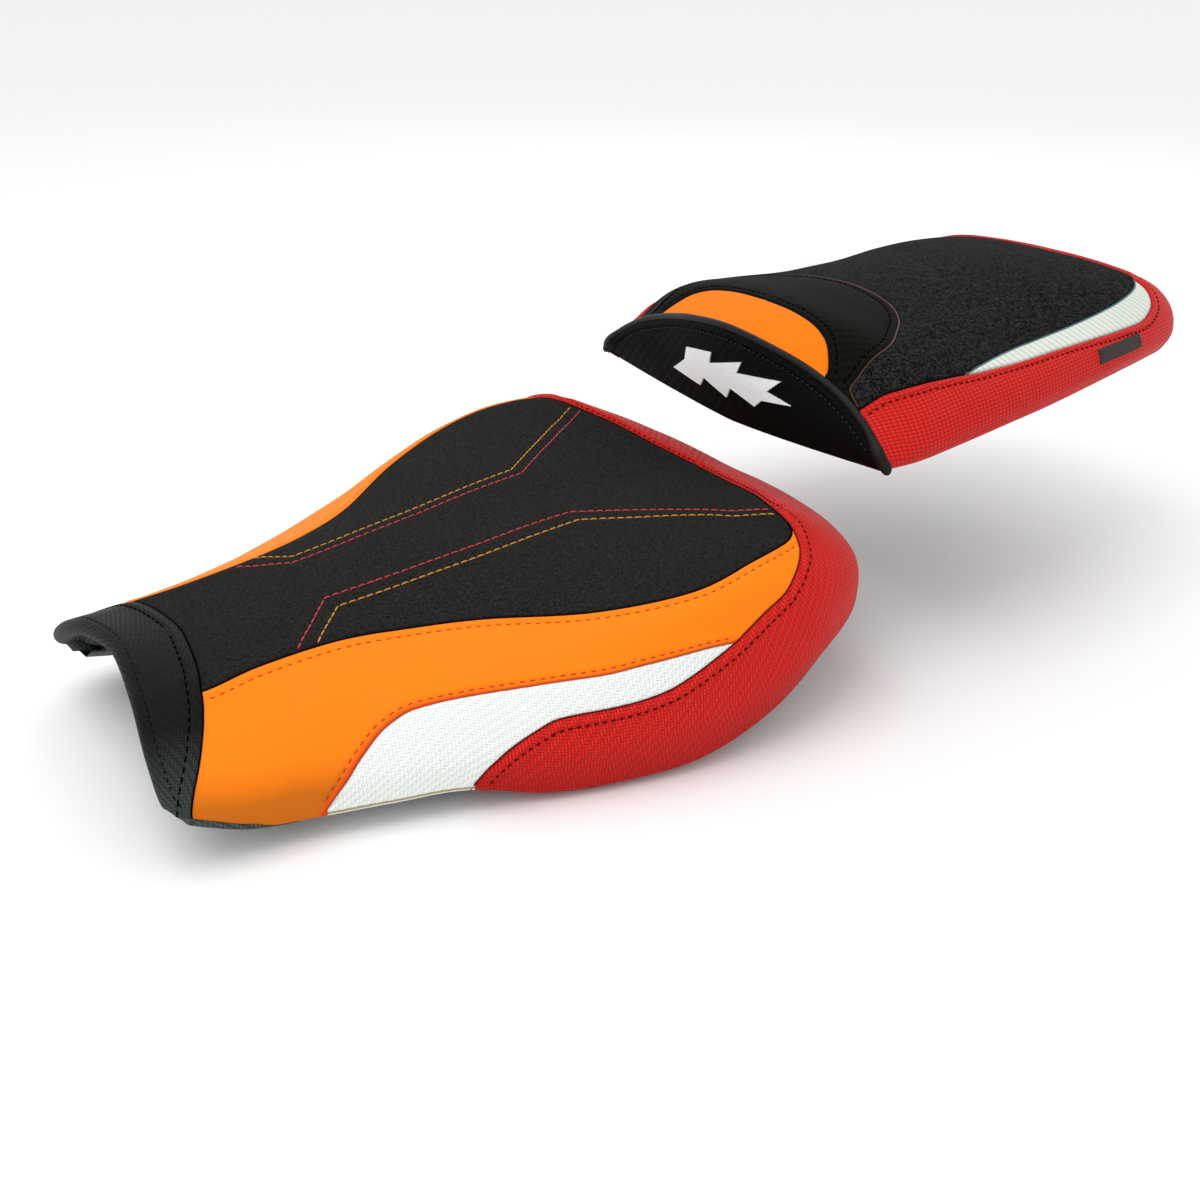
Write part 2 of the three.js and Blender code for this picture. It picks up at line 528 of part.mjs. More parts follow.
// one U-shaped piece round the rear
function addRiderRearBand() {
  const vs = [
    0.1465, 0.152, 0.161, 0.172, 0.182, ...within(RIDER_GRID, 0.19, 0.255),
    0.262, 0.271, 0.281, 0.292, 0.302, 0.312, 0.325, 0.345,
    ...within(RIDER_GRID, 0.355, 0.499), 0.5];
  const columns = sideColumns(vs, lowerEdge, beside(REAR_BAND_SEAM, -SEAM_A), 4);
  addBody('rider_rear_band', cover(patch(rider, unfold(columns, mirrorColumn))), FINISH.red);
}

// ---- foam and pans ---------------------------------------------------------------------------
// [a on the cover, b on the pan floor] for each row of the foam
const FOAM_ROWS = [
  [0.03, 0], [0.1, 0.1], [0.2, 0.2], [0.32, 0.35], [0.42, 0.5], [0.5, 0.64], [0.7, 0.78], [1, 1]];
const PAN_ROWS = [0.2, 0.5, 0.78, 1];
const RIDER_PAN_V = [0.046, ...steps(2 / rider.rimSpans, 0.5, 11)];
const PILLION_PAN_V = [0.026, ...steps(1 / pillion.rimSpans, 0.5, 18)];

function foam(net, vs, inset) {
  const columns = vs.map((v) => FOAM_ROWS.map(([a]) => [v, a]));
  const bottom = (w) => raise(net.floorPoint(w.v, lookUp(FOAM_ROWS, w.a)), FOAM_LIFT);
  const top = (w) => {
    const [x, y, z] = add(w.point, w.normal, -inset);
    return [x, y, Math.max(z, bottom(w)[2] + MIN_FOAM)];
  };
  return between(bothHalves(net, columns), top, bottom);
}

const panSurface = (net, vs, edge) => (
  bothHalves(net, vs.map((v) => [edge, ...PAN_ROWS].map((b) => [v, b]))));

const panShell = (net, vs) => solid(between(
  panSurface(net, vs, 0),
  (w) => net.floorPoint(w.v, w.a),
  (w) => raise(net.floorPoint(w.v, w.a), -PAN_WALL)));

// room under the pan floor, down to a level
const roomUnder = (net, vs, level) => solid(between(
  panSurface(net, vs, 0.02),
  (w) => raise(net.floorPoint(w.v, w.a), -ROOT),
  (w) => {
    const [x, y, z] = net.floorPoint(w.v, w.a);
    return [x, y, Math.min(level, z - ROOT - 0.5)];
  }));

function addRiderPan() {
  const vs = [0.02, ...RIDER_PAN_V], top = RIDER_TOP_Z, W = RIDER_WEBS;
  const webs = union([
    ...eachSide((s) => bar(W.rear, W.front, s * W.y, WEB, W.bottom, top)),
    ...W.crossX.map((x) => bar(x - WEB / 2, x + WEB / 2, 0, W.crossLength, W.bottom, top)),
  ]).intersect(roomUnder(rider, vs, -1));
  const halfPad = CENTRE_PAD.length / 2;
  const post = (part, x, y) => cylinder(part.postR, part.z + part.t + GAP, top, x, y);
  const posts = union([
    bar(-halfPad, halfPad, 0, CENTRE_PAD.width, RIDER_REST_Z, top),
    ...bumperPosts(RIDER_FEET, top),
    ...eachSide((s) => post(TONGUE, TONGUE.rivetX, s * TONGUE.rivetY)),
    ...eachSide((s) => post(BRACKET, BRACKET.rivetX, s * BRACKET.y)),
  ]).intersect(roomUnder(rider, vs, -8));
  const hole = (part, y) => fastenerHole(RIVET, 0, part.z, part.t, part.rivetX, y);
  const holes = union([
    ...eachSide((s) => hole(TONGUE, s * TONGUE.rivetY)),
    ...eachSide((s) => hole(BRACKET, s * BRACKET.y)),
    ...bumperHoles(RIDER_FEET, 0),
  ]);
  const pan = union([panShell(rider, vs), webs, posts]).subtract(holes);
  addSolid('rider_base_pan', pan, FINISH.pan);
}

// ---- rider seat: hardware --------------------------------------------------------------------
function addRiderTongue() {
  const T = TONGUE, top = T.z + T.t;
  const holes = eachSide((s) => cylinder(HOLE_R, 0, RIDER_TOP_Z, T.rivetX, s * T.rivetY, 10));
  const tongue = bar(T.rear, T.wideFront, 0, T.width, T.z, top)
    .add(bar(T.tipRear, T.front, 0, T.tipWidth, T.z, top))
    .add(bar(T.ribRear, T.ribFront, 0, T.ribWidth, T.z - T.ribDrop, T.z + OVERLAP))
    .subtract(union(holes));
  addSolid('rider_front_tongue', tongue, FINISH.tongue);
}

// strap with a rounded rear end and a lip down each side
function mountBracket(y) {
  const B = BRACKET, top = B.z + B.t, lipY = (B.width - B.lipWidth) / 2;
  const lip = (s) => (
    bar(B.lipRear, B.front, y + s * lipY, B.lipWidth, B.z - B.lipDrop, B.z + OVERLAP));
  return bar(B.rear, B.front, y, B.width, B.z, top)
    .add(cylinder(B.width / 2, B.z, top, B.endX, y))
    .add(lip(-1))
    .add(lip(1))
    .subtract(cylinder(COLLAR.r + GAP, 0, RIDER_TOP_Z, B.boltX, y))
    .subtract(cylinder(HOLE_R, 0, RIDER_TOP_Z, B.rivetX, y, 10));
}

function collar(x, y) {
  const C = COLLAR;
  return cylinder(C.r, C.bottom, C.flangeZ + OVERLAP, x, y, 16)
    .add(cylinder(C.flangeR, C.flangeZ, C.flangeZ + C.flangeT, x, y, 20))
    .subtract(cylinder(C.bore, 0, RIDER_TOP_Z, x, y, 16));
}

function bolt(x, y) {
  const B = BOLT, z = B.washerZ, headZ = z + B.headLift;
  return cylinder(B.headR, headZ, headZ + B.headH, x, y, 6)
    .add(cylinder(B.washerR, z, z + B.washerT, x, y, 20))
    .add(cylinder(B.shankR, B.end + B.tipJoin, z + OVERLAP, x, y, 14))
    .add(cone(B.tipR, B.shankR, B.end, B.end + B.tipH, x, y, 14));
}

function addRiderSideHardware(s, side) {
  const T = TONGUE, B = BRACKET, y = s * B.y;
  const tongueRivet = fastener(RIVET, T.z, T.t, T.rivetX, s * T.rivetY);
  addSolid(`rider_tongue_rivet_${side}`, tongueRivet, FINISH.fastener);
  addSolid(`rider_mount_bracket_${side}`, mountBracket(y), FINISH.bracket);
  const bracketRivet = fastener(RIVET, B.z, B.t, B.rivetX, y);
  addSolid(`rider_bracket_rivet_${side}`, bracketRivet, FINISH.fastener);
  addSolid(`rider_collar_${side}`, collar(B.boltX, y), FINISH.collar);
  addSolid(`rider_bolt_${side}`, bolt(B.boltX, y), FINISH.bolt);
  addBumpers('rider', RIDER_FEET, s, side);
}

// ---- pillion seat: covers --------------------------------------------------------------------
// where the top panel's rows meet the front, as a
const FRONT_ROWS = steps(lookUp(PILLION_TOP_SEAM, PILLION_EDGE) + SEAM_A, 1, 6);

// fans out from the arch seam to the rear centre
function addPillionTop() {
  const vs = [PILLION_EDGE, 0.02, ...within(PILLION_GRID, 0.03, 0.5), 0.5];
  const columns = vs.map((v) => {
    const rearward = (v - PILLION_EDGE) / (0.5 - PILLION_EDGE);
    const as = steps(lookUp(PILLION_TOP_SEAM, v) + SEAM_A, 1, 6);
    return as.map((a, k) => {
      const archV = lookUp(ARCH_SEAM, FRONT_ROWS[k]) + SEAM_V;
      return [k === 0 ? v : lerp(archV, 0.5, rearward), a];
    });
  });
  addBody('pillion_top_panel', cover(bothHalves(pillion, columns)), FINISH.suede);
}

// leather over the front, behind the crescent
function addPillionArch() {
  const as = [0.53, ...FRONT_ROWS.filter((a) => a > 0.55)];
  const from = (a) => (a < 0.6 ? PILLION_EDGE : lookUp(CRESCENT_SEAM, a) + SEAM_V);
  const columns = frontColumns(as, from, beside(ARCH_SEAM, -SEAM_V), 3);
  addBody('pillion_arch_panel', cover(bothHalves(pillion, columns)), FINISH.leather);
}

function addPillionCrescent() {
  const as = [0.63, ...FRONT_ROWS.filter((a) => a > 0.65)];
  const columns = frontColumns(as, () => PILLION_EDGE, beside(CRESCENT_SEAM, -SEAM_V), 2);
  addBody('pillion_front_insert', cover(bothHalves(pillion, columns)), FINISH.orangeInsert);
}

function addPillionInserts() {
  const vs = [0.104, ...within(PILLION_GRID, 0.11, 0.3), 0.305, 0.334, 0.35];
  const low = beside(SIDE_BAND_SEAM, SEAM_A), high = beside(PILLION_TOP_SEAM, -SEAM_A);
  addCoverPair('pillion_insert', pillion, sideColumns(vs, low, high, 2), FINISH.whiteInsert);
}

// one U-shaped piece round the rear
function addPillionSideBand() {
  const vs = [
    PILLION_EDGE, 0.02, ...within(PILLION_GRID, 0.03, 0.3), 0.305, 0.334, 0.35, 0.361,
    ...within(PILLION_GRID, 0.37, 0.499), 0.5];
  const columns = sideColumns(vs, lowerEdge, beside(SIDE_BAND_SEAM, -SEAM_A), 3);
  addBody('pillion_side_band', cover(patch(pillion, unfold(columns, mirrorColumn))), FINISH.red);
}

// woven tag on the left side
function addPillionTag() {
  const columns = sideColumns(steps(TAG.v0, TAG.v1, 3), () => TAG.a0, () => TAG.a1, 2);
  addBody('pillion_side_tag', cover(patch(pillion, columns), TAG.outer, TAG.inner), FINISH.tag);
}

// ---- pillion seat: front face ----------------------------------------------------------------
const FACE = { x: -144, drop: 2.7, minHeight: 0.8, inset: 0.985, belly: 1.6, fullAt: 30, t: 1.8 };
const PIPING = { r: 1.9, back: 0.6, down: 0.4 };
const EMBLEM = { t: 1, lift: 0.45, shiftY: 2, maxEdge: 7 };
const EMBLEM_OUTLINE = [         // y, z before the sideways shift
  [-50, 111], [-24, 107.5], [-20, 113], [0, 107], [4, 113.5], [24, 108.5], [30, 113.5],
  [52, 116.5], [34, 119.5], [44, 127.5], [10, 123.5], [14, 130.5], [-14, 123], [-12, 129.5],
  [-36, 126.5], [-38, 119]];
const archPoints = (as) => as.map((a) => pillion.point(0, a));
const ARCH = archPoints([0.03, 0.1, 0.2, 0.3, 0.42, 0.55, 0.7, 0.85, 1]);

const faceBottom = (y) => 94.6 + 8.6 * Math.pow(Math.min(1, Math.abs(y) / 121), 1.35);
const faceX = (archX, t, fullness = 1) => (
  lerp(FACE.x, archX, t) + FACE.belly * Math.sin(Math.PI * t) * fullness);

// slightly bellied panel between the arch and the lower edge
function addFrontPanel() {
  const facePoint = ([x, archY, z], t) => {
    const y = archY * FACE.inset, top = z - FACE.drop;
    const bottom = Math.min(faceBottom(y), top - FACE.minHeight);
    const fullness = Math.min(1, (top - bottom) / FACE.fullAt);
    return [faceX(x, t, fullness), y, lerp(bottom, top, t)];
  };
  // rows run upward, each from +Y to -Y
  const rows = steps(0, 1, 3).map((t) => unfold(ARCH, flipY).map((p) => facePoint(p, t)));
  const ids = rows.map((row, j) => row.map((_, i) => j * row.length + i));
  const surface = { verts: rows.flat(), triangles: gridTriangles(ids) };
  const shifted = (dx) => (p) => add(p, [dx, 0, 0]);
  const panel = between(surface, shifted(FACE.t / 2), shifted(-FACE.t / 2));
  addBody('pillion_front_panel', panel, FINISH.frontPanel);
}

function addPiping() {
  const line = archPoints([0, 0.06, 0.14, 0.22, 0.32, 0.42, 0.52, 0.64, 0.76, 0.88, 1])
    .map((p) => add(p, [-PIPING.back, 0, -PIPING.down]));
  addBody('pillion_piping', sweep(unfold(line, flipY), PIPING.r, 8), FINISH.piping);
}

function archAt(y) {
  let k = 0;
  while (k < ARCH.length - 2 && ARCH[k + 1][1] > y) k++;
  const t = (ARCH[k][1] - y) / (ARCH[k][1] - ARCH[k + 1][1]);
  return add(ARCH[k], sub(ARCH[k + 1], ARCH[k]), clamp01(t));
}

// plain jagged flash, laid on the bellied face and a little proud of it
function addEmblem() {
  const emblem = new CrossSection([EMBLEM_OUTLINE], 'NonZero')
    .extrude(EMBLEM.t)
    .refineToLength(EMBLEM.maxEdge)
    // drawn in (y, z), raised along x
    .transform([0, 1, 0, 0, 0, 0, 1, 0, 1, 0, 0, 0, 0, EMBLEM.shiftY, 0, 1])
    .warp((p) => {
      const [archX, , archZ] = archAt(Math.abs(p[1])), bottom = faceBottom(p[1]);
      const t = (p[2] - bottom) / (archZ - FACE.drop - bottom);
      p[0] += faceX(archX, t) + FACE.t / 2 + EMBLEM.lift;
    });
  addSolid('pillion_emblem', emblem, FINISH.emblem);
}

// ---- pillion seat: pan and hardware ----------------------------------------------------------
const STRIKER_PLATE_TOP = STRIKER.top + STRIKER.plateT;
const strikerPlate = (z0, z1) => {
  const { x, plateLength, plateWidth } = STRIKER;
  return bar(x - plateLength / 2, x + plateLength / 2, 0, plateWidth, z0, z1);
};

function addPillionPan() {
  const vs = [0.0095, ...PILLION_PAN_V], W = PILLION_WEBS, S = STRIKER, P = PRONG;
  const crossWeb = ([x, halfLength, endZ]) => {
    const web = (length, z) => bar(x - WEB / 2, x + WEB / 2, 0, length, z, W.top);
    return Manifold.hull([web(W.flatLength, W.bottom), web(2 * halfLength, endZ)]);
  };
  const webs = union([
    ...eachSide((s) => bar(W.rear, W.front, s * W.y, WEB, W.bottom, W.top)),
    ...W.cross.map(crossWeb),
  ]).intersect(roomUnder(pillion, vs, 92));
  const prongPad = (s) => (
    bar(P.padRear, P.padFront, s * P.y, P.width, P.z + P.t + GAP, PILLION_TOP_Z));
  const posts = union([
    ...bumperPosts(PILLION_FEET, PILLION_TOP_Z),
    strikerPlate(STRIKER_PLATE_TOP + GAP, PILLION_TOP_Z),
    ...eachSide(prongPad),
  ]).intersect(roomUnder(pillion, vs, 85));
  const hole = (z, t, x, y) => fastenerHole(SCREW, PILLION_CUT_Z, z, t, x, y);
  const holes = union([
    ...bumperHoles(PILLION_FEET, PILLION_CUT_Z),
    ...eachSide((s) => hole(S.top, S.plateT, S.x + s * S.screwX, 0)),
    ...eachSide((s) => hole(P.z, P.t, P.screwX, s * P.y)),
  ]);
  const pan = union([panShell(pillion, vs), webs, posts]).subtract(holes);
  addSolid('pillion_base_pan', pan, FINISH.pan);
}

// plate with a U-shaped bar hanging below it
function addStriker() {
  const S = STRIKER, half = S.span / 2, bend = half * S.bendRatio;
  const holes = eachSide((s) => cylinder(HOLE_R, PILLION_CUT_Z, 120, S.x + s * S.screwX, 0, 16));
  const plate = strikerPlate(S.top, STRIKER_PLATE_TOP).subtract(union(holes));
  addSolid('pillion_striker_plate', plate, FINISH.plate);
  const loop = [
    [S.x, half, S.top - GAP],
    ...steps(0, Math.PI, 8).map((angle) => [
      S.x, half * Math.cos(angle), S.bottom + bend - bend * Math.sin(angle)]),
    [S.x, -half, S.top - GAP],
  ];
  addBody('pillion_striker', sweep(loop, S.r, 12), FINISH.striker);
  for (const [s, end] of [[1, 'front'], [-1, 'rear']]) {
    const screw = fastener(SCREW, S.top, S.plateT, S.x + s * S.screwX, 0, true);
    addSolid(`pillion_striker_screw_${end}`, screw, FINISH.fastener);
  }
}

// flat prong with a rounded rear tip and a rib below
function prong(y) {
  const P = PRONG, top = P.z + P.t, tipX = P.rear + P.tipR;
  return bar(tipX, P.front, y, P.width, P.z, top)
    .add(cylinder(P.tipR, P.z, top, tipX, y, 28))
    .add(bar(tipX, P.ribFront, y, P.ribWidth, P.z - P.ribDrop, P.z + OVERLAP))
    .subtract(cylinder(HOLE_R, PILLION_CUT_Z, 120, P.screwX, y, 16));
}

function addPillionSideHardware(s, side) {
  const y = s * PRONG.y;
  addSolid(`pillion_prong_${side}`, prong(y), FINISH.plate);
  const screw = fastener(SCREW, PRONG.z, PRONG.t, PRONG.screwX, y);
  addSolid(`pillion_prong_screw_${side}`, screw, FINISH.fastener);
  addBumpers('pillion', PILLION_FEET, s, side);
}

// ---- assembly --------------------------------------------------------------------------------
addRiderNoseBand();
addRiderTop();
addRiderSidePanels();
addRiderInserts();
addRiderRearBand();
addBody('rider_foam', foam(rider, [0.024, ...RIDER_PAN_V], RIDER_FOAM_IN), FINISH.foam);
addRiderPan();
addRiderTongue();
SIDES.forEach(([s, side]) => addRiderSideHardware(s, side));

addPillionTop();
addPillionArch();
addPillionCrescent();
addPillionInserts();
addPillionSideBand();
addPillionTag();
addBody('pillion_foam', foam(pillion, [0.011, ...PILLION_PAN_V], PILLION_FOAM_IN), FINISH.foam);
addFrontPanel();
addPiping();
addEmblem();
addPillionPan();
addStriker();
SIDES.forEach(([s, side]) => addPillionSideHardware(s, side));

export default group;
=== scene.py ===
"""A rider seat and the pillion seat behind it: padded covers sewn from panels over foam and pans.

+X is the front, +Y the left and +Z up. Lengths are in millimetres; meshes are scaled to metres.
"""
import json
import math
import bpy
import numpy as np
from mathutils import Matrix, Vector
from mathutils.kdtree import KDTree

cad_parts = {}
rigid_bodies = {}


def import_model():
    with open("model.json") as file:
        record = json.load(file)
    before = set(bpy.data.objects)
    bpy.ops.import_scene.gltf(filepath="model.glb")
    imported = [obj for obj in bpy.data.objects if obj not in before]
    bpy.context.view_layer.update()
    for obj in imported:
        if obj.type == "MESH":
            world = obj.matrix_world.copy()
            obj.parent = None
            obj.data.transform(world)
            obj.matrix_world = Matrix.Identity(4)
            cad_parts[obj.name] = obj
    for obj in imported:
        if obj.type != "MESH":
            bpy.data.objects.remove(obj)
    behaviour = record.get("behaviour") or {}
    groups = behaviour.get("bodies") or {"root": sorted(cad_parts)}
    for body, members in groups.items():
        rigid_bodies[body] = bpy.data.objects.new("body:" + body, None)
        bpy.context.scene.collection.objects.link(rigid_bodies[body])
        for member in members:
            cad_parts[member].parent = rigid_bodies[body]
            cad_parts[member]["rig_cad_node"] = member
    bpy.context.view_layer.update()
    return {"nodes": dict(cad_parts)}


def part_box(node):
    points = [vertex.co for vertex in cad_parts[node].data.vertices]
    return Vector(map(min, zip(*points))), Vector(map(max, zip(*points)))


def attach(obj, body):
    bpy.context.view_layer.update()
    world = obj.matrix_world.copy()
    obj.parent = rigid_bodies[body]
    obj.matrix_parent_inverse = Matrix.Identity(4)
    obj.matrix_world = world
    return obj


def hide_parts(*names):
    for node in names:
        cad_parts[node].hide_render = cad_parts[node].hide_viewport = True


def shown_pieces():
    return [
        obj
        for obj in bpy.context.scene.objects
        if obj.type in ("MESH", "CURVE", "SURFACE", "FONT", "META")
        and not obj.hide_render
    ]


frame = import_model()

rng = np.random.default_rng(20261)
scene = bpy.context.scene
MM = 0.001
PI = math.pi
RIDER_SEAT, PILLION_SEAT = 'rider_seat', 'pillion_seat'
STEP = 1.5             # mesh spacing away from the seams
CLOSE_COLUMNS = 40      # extra columns where a panel edge climbs steeply

# ------------------------------------------------------------------ cover nets
# Stations of (x, y, z). They run from the front edge back along the left side to the rear
# centre; each climbs from the rim to the centre plane.
RIDER_NET = [
    [(200, 89, 9), (208, 91, 21), (208, 74, 34), (205, 50, 45.5),
     (203, 33, 50), (201, 16, 53), (200, 0, 54)],
    [(177, 95, 2), (180, 97, 17), (180, 81, 31), (176, 51, 47),
     (172, 33, 51), (169, 17, 52.5), (167, 0, 53)],
    [(150, 100, 0), (152, 99, 17), (152, 82, 34), (150, 49, 50.4),
     (147, 34, 52.5), (144, 17, 54), (141, 0, 54.5)],
    [(118, 108, 0), (119, 107, 18), (118, 88, 38), (114, 52, 54),
     (112, 36, 57.5), (110, 19, 60.3), (108, 0, 61)],
    [(86, 117, 0), (86, 117, 20), (85, 98, 42), (83, 61.4, 55.7),
     (84, 33, 61.8), (82, 20, 63.6), (80, 0, 64)],
    [(50, 129, -7.6), (50, 131, 20.5), (51, 113, 46), (53.4, 76, 58.4),
     (54, 36, 65.2), (53, 20, 66.8), (51, 0, 67)],
    [(12, 139, -8.4), (12, 143, 20.5), (13, 133, 49), (14, 106, 63.8),
     (18, 38, 70), (19, 20, 70.6), (20, 0, 70.3)],
    [(-24, 145, -5.3), (-24, 149, 24.2), (-25, 142, 54), (-26, 125, 71),
     (-17, 45, 74.3), (-14, 24, 74), (-10, 0, 73)],
    [(-62, 145, 6.6), (-63, 150, 30), (-62, 144, 58), (-58, 127, 78.5),
     (-48, 62, 77), (-36, 34, 75), (-30, 0, 74)],
    [(-95.5, 135, 18.5), (-97.5, 142.5, 37), (-96, 140, 63), (-88, 121, 82),
     (-76, 84, 79), (-58, 45, 76), (-42, 0, 74)],
    [(-122.5, 121, 24), (-127, 126, 41), (-123.5, 123.5, 64), (-100, 104, 84),
     (-86, 76, 79.5), (-70, 42, 76), (-52, 0, 73.8)],
    [(-139, 95, 26), (-142.5, 99, 44), (-137.2, 94, 65), (-112, 78, 80),
     (-97, 60, 77.5), (-80, 33, 75), (-60, 0, 73.5)],
    [(-143, 60, 30), (-147, 62, 47), (-143.5, 60, 65), (-118, 52, 76),
     (-104, 40, 74.5), (-88, 22, 73.6), (-65, 0, 73.3)],
    [(-145, 30, 31), (-150, 31, 48), (-147, 30, 64), (-121, 26, 72.5),
     (-107, 20, 72.5), (-91, 10, 73), (-67, 0, 73.2)],
    [(-146, 0, 31), (-151, 0, 48), (-148, 0, 63), (-122, 0, 71),
     (-108, 0, 72), (-92, 0, 72.7), (-68, 0, 73.1)]]
PILLION_NET = [
    [(-143, 123, 103.5), (-142, 118, 109.5), (-144, 104, 120), (-145, 85, 129.3),
     (-144, 60, 137), (-140, 32, 143), (-138, 0, 146)],
    [(-168, 122, 102.8), (-167, 122, 112), (-168, 110, 126.5), (-167, 90, 142),
     (-167, 62, 151.5), (-166, 32, 156), (-166, 0, 157.5)],
    [(-198, 121, 105.6), (-198, 121.5, 115.5), (-198, 113, 129), (-197, 93, 142.8),
     (-196, 64, 151.6), (-196, 33, 156.3), (-196, 0, 158.2)],
    [(-230, 119, 108.6), (-230, 120.5, 118), (-230, 113, 131), (-229, 94, 140.3),
     (-228, 65, 150.1), (-228, 33, 155.83), (-228, 0, 157.7)],
    [(-262, 116, 111), (-262, 118.5, 121), (-262, 112, 133), (-261, 94, 140.2),
     (-260, 66, 150.4), (-258, 33, 156.24), (-258, 0, 158.1)],
    [(-296, 112.2, 114.2), (-296, 115.2, 123.5), (-296, 110, 135), (-294, 93, 142.6),
     (-290, 66, 152.2), (-284, 33, 157.21), (-282, 0, 158.8)],
    [(-328, 107.8, 117), (-329, 111.8, 126), (-328, 107, 137), (-323, 91, 146.1),
     (-314, 66, 154.5), (-306, 33, 158.07), (-302, 0, 159.3)],
    [(-358, 101.6, 118.2), (-360, 105.6, 127.5), (-358, 102, 139), (-350, 88, 149.2),
     (-337, 64, 155.8), (-324, 32, 158.58), (-316, 0, 159.4)],
    [(-382, 93, 117.5), (-386, 96, 128.3), (-384, 92, 141), (-374, 80, 151),
     (-356, 58, 156), (-338, 28, 158.5), (-325, 0, 159.2)],
    [(-396, 76, 116.5), (-402, 79, 128.5), (-399, 76, 143), (-388, 67, 152.5),
     (-368, 48, 156.5), (-347, 23, 158.5), (-330, 0, 159)],
    [(-402, 52, 115.5), (-408, 54, 128), (-405, 52, 144), (-393, 45, 153.5),
     (-374, 32, 157), (-352, 15, 158.5), (-333, 0, 159)],
    [(-405, 26, 115), (-410, 27, 128), (-407, 26, 144), (-395, 23, 154),
     (-377, 16, 157), (-355, 8, 158.5), (-335, 0, 159)],
    [(-406, 0, 115), (-411, 0, 128), (-408, 0, 144), (-396, 0, 154),
     (-378, 0, 157), (-356, 0, 158.5), (-336, 0, 159)]]
# height of the pan at the centre plane, one per station
RIDER_FLOOR = [45, 43.5, 40, 36, 33.5, 32, 32, 32, 33, 35, 38, 40, 42, 43, 43.5]
PILLION_FLOOR = [99, 104, 109, 112, 114, 115, 116, 117, 118, 119, 120, 120, 120]
PAN_INSET = 4.0
# a rise on the cover and how far inward over the pan it stands
PAN_RISE = [0.03, 0.1, 0.2, 0.32, 0.42, 0.5, 0.7, 1]
PAN_INWARD = [0, 0.1, 0.2, 0.35, 0.5, 0.64, 0.78, 1]

# ------------------------------------------------------------------ seam tables
# (turn, rise), except the nose, arch and crescent, which are (rise, turn)
NOSE_SEAM = [
    (0, 0.004), (0.117, 0.009), (0.232, 0.016), (0.308, 0.022), (0.372, 0.027),
    (0.422, 0.031), (0.48, 0.034), (0.578, 0.035), (0.76, 0.034), (1, 0.033)]
TOP_SEAM = [
    (0, 0.5), (0.31, 0.496), (0.345, 0.53), (0.386, 0.555), (0.434, 0.545),
    (0.477, 0.512), (0.5, 0.5)]
WHITE_SEAM = [
    (0.075, 0.0), (0.087, 0.1298), (0.099, 0.2209), (0.112, 0.2772), (0.127, 0.3031),
    (0.143, 0.3062), (0.173, 0.3047), (0.201, 0.3119), (0.22, 0.3204), (0.245, 0.3133),
    (0.262, 0.3019)]
RED_SEAM = [                             # it joins the top seam towards the rear
    (0.144, 0.0), (0.152, 0.0973), (0.161, 0.1582), (0.172, 0.1963), (0.182, 0.2186),
    (0.204, 0.2302), (0.228, 0.2418), (0.239, 0.2558), (0.251, 0.2773), (0.262, 0.3019),
    (0.271, 0.3274), (0.281, 0.3521), (0.292, 0.3718), (0.302, 0.4082), (0.312, 0.4462),
    (0.325, 0.4978)] + TOP_SEAM[2:]
PILLION_TOP_SEAM = [
    (0.0, 0.4049), (0.006, 0.4092), (0.026, 0.4134), (0.042, 0.4063), (0.056, 0.4049),
    (0.07, 0.4077), (0.084, 0.4077), (0.097, 0.4063), (0.114, 0.4309), (0.132, 0.457),
    (0.149, 0.4761), (0.167, 0.4895), (0.202, 0.4983), (0.223, 0.4993), (0.247, 0.4993),
    (0.272, 0.504), (0.303, 0.5139), (0.361, 0.5336), (0.417, 0.5414), (0.461, 0.5574),
    (0.5, 0.5792)]
PILLION_RED_SEAM = PILLION_TOP_SEAM[:8] + [       # parts from the top seam round the insert
    (0.112, 0.4034), (0.128, 0.4049), (0.144, 0.4034), (0.179, 0.4049), (0.195, 0.4005),
    (0.214, 0.3934), (0.233, 0.3835), (0.254, 0.3735), (0.277, 0.3662), (0.305, 0.3973),
    (0.334, 0.4718)] + PILLION_TOP_SEAM[-4:]
ARCH_SEAM = [
    (0.405, 0.0046), (0.5, 0.0093), (0.523, 0.0255), (0.566, 0.0574), (0.594, 0.0689),
    (0.63, 0.0796), (0.697, 0.0974), (0.792, 0.1111), (0.883, 0.117), (1.0, 0.1201)]
CRESCENT_SEAM = [
    (0.6, 0.0057), (0.621, 0.0119), (0.706, 0.0286), (0.807, 0.0364), (0.905, 0.0385),
    (1.0, 0.0385)]
NOSE_CORNER = 0.034                      # turn where the nose seam meets the top seam
WHITE_END = 0.262                        # turn where the white seam meets the red seam
INSERT_SPAN = (0.097, 0.361)             # turns between which the pillion insert lies

# Decorative threads on the rider top, seen from above: (x, y), for the left side and for
# the right side mirrored to the left; the guesses are nearby (turn, rise).
RED_THREAD_LEFT = [
    (131.8, 48.5), (107.2, 22.4), (-23.6, 27.4), (-51, 47.8), (-77, 69.6), (-87.9, 82.7),
    (-96.2, 98.5)]
RED_THREAD_RIGHT = [
    (126.2, 44.5), (105.6, 21.5), (-28.5, 30.7), (-52.2, 49.6), (-76.9, 68.8), (-89, 77.3),
    (-99.9, 83.8)]
RED_THREAD_GUESS = [
    (.089, .508), (.107, .757), (.134, .792), (.162, .778), (.189, .764), (.213, .733),
    (.239, .752), (.274, .823), (.30, .797), (.327, .771), (.352, .671), (.357, .537)]
AMBER_THREAD_LEFT = [
    (122.8, 49.5), (104.9, 31.6), (-21.4, 38.4), (-48, 57.9), (-74.6, 77.1), (-85.6, 89.3),
    (-94.1, 104.0)]
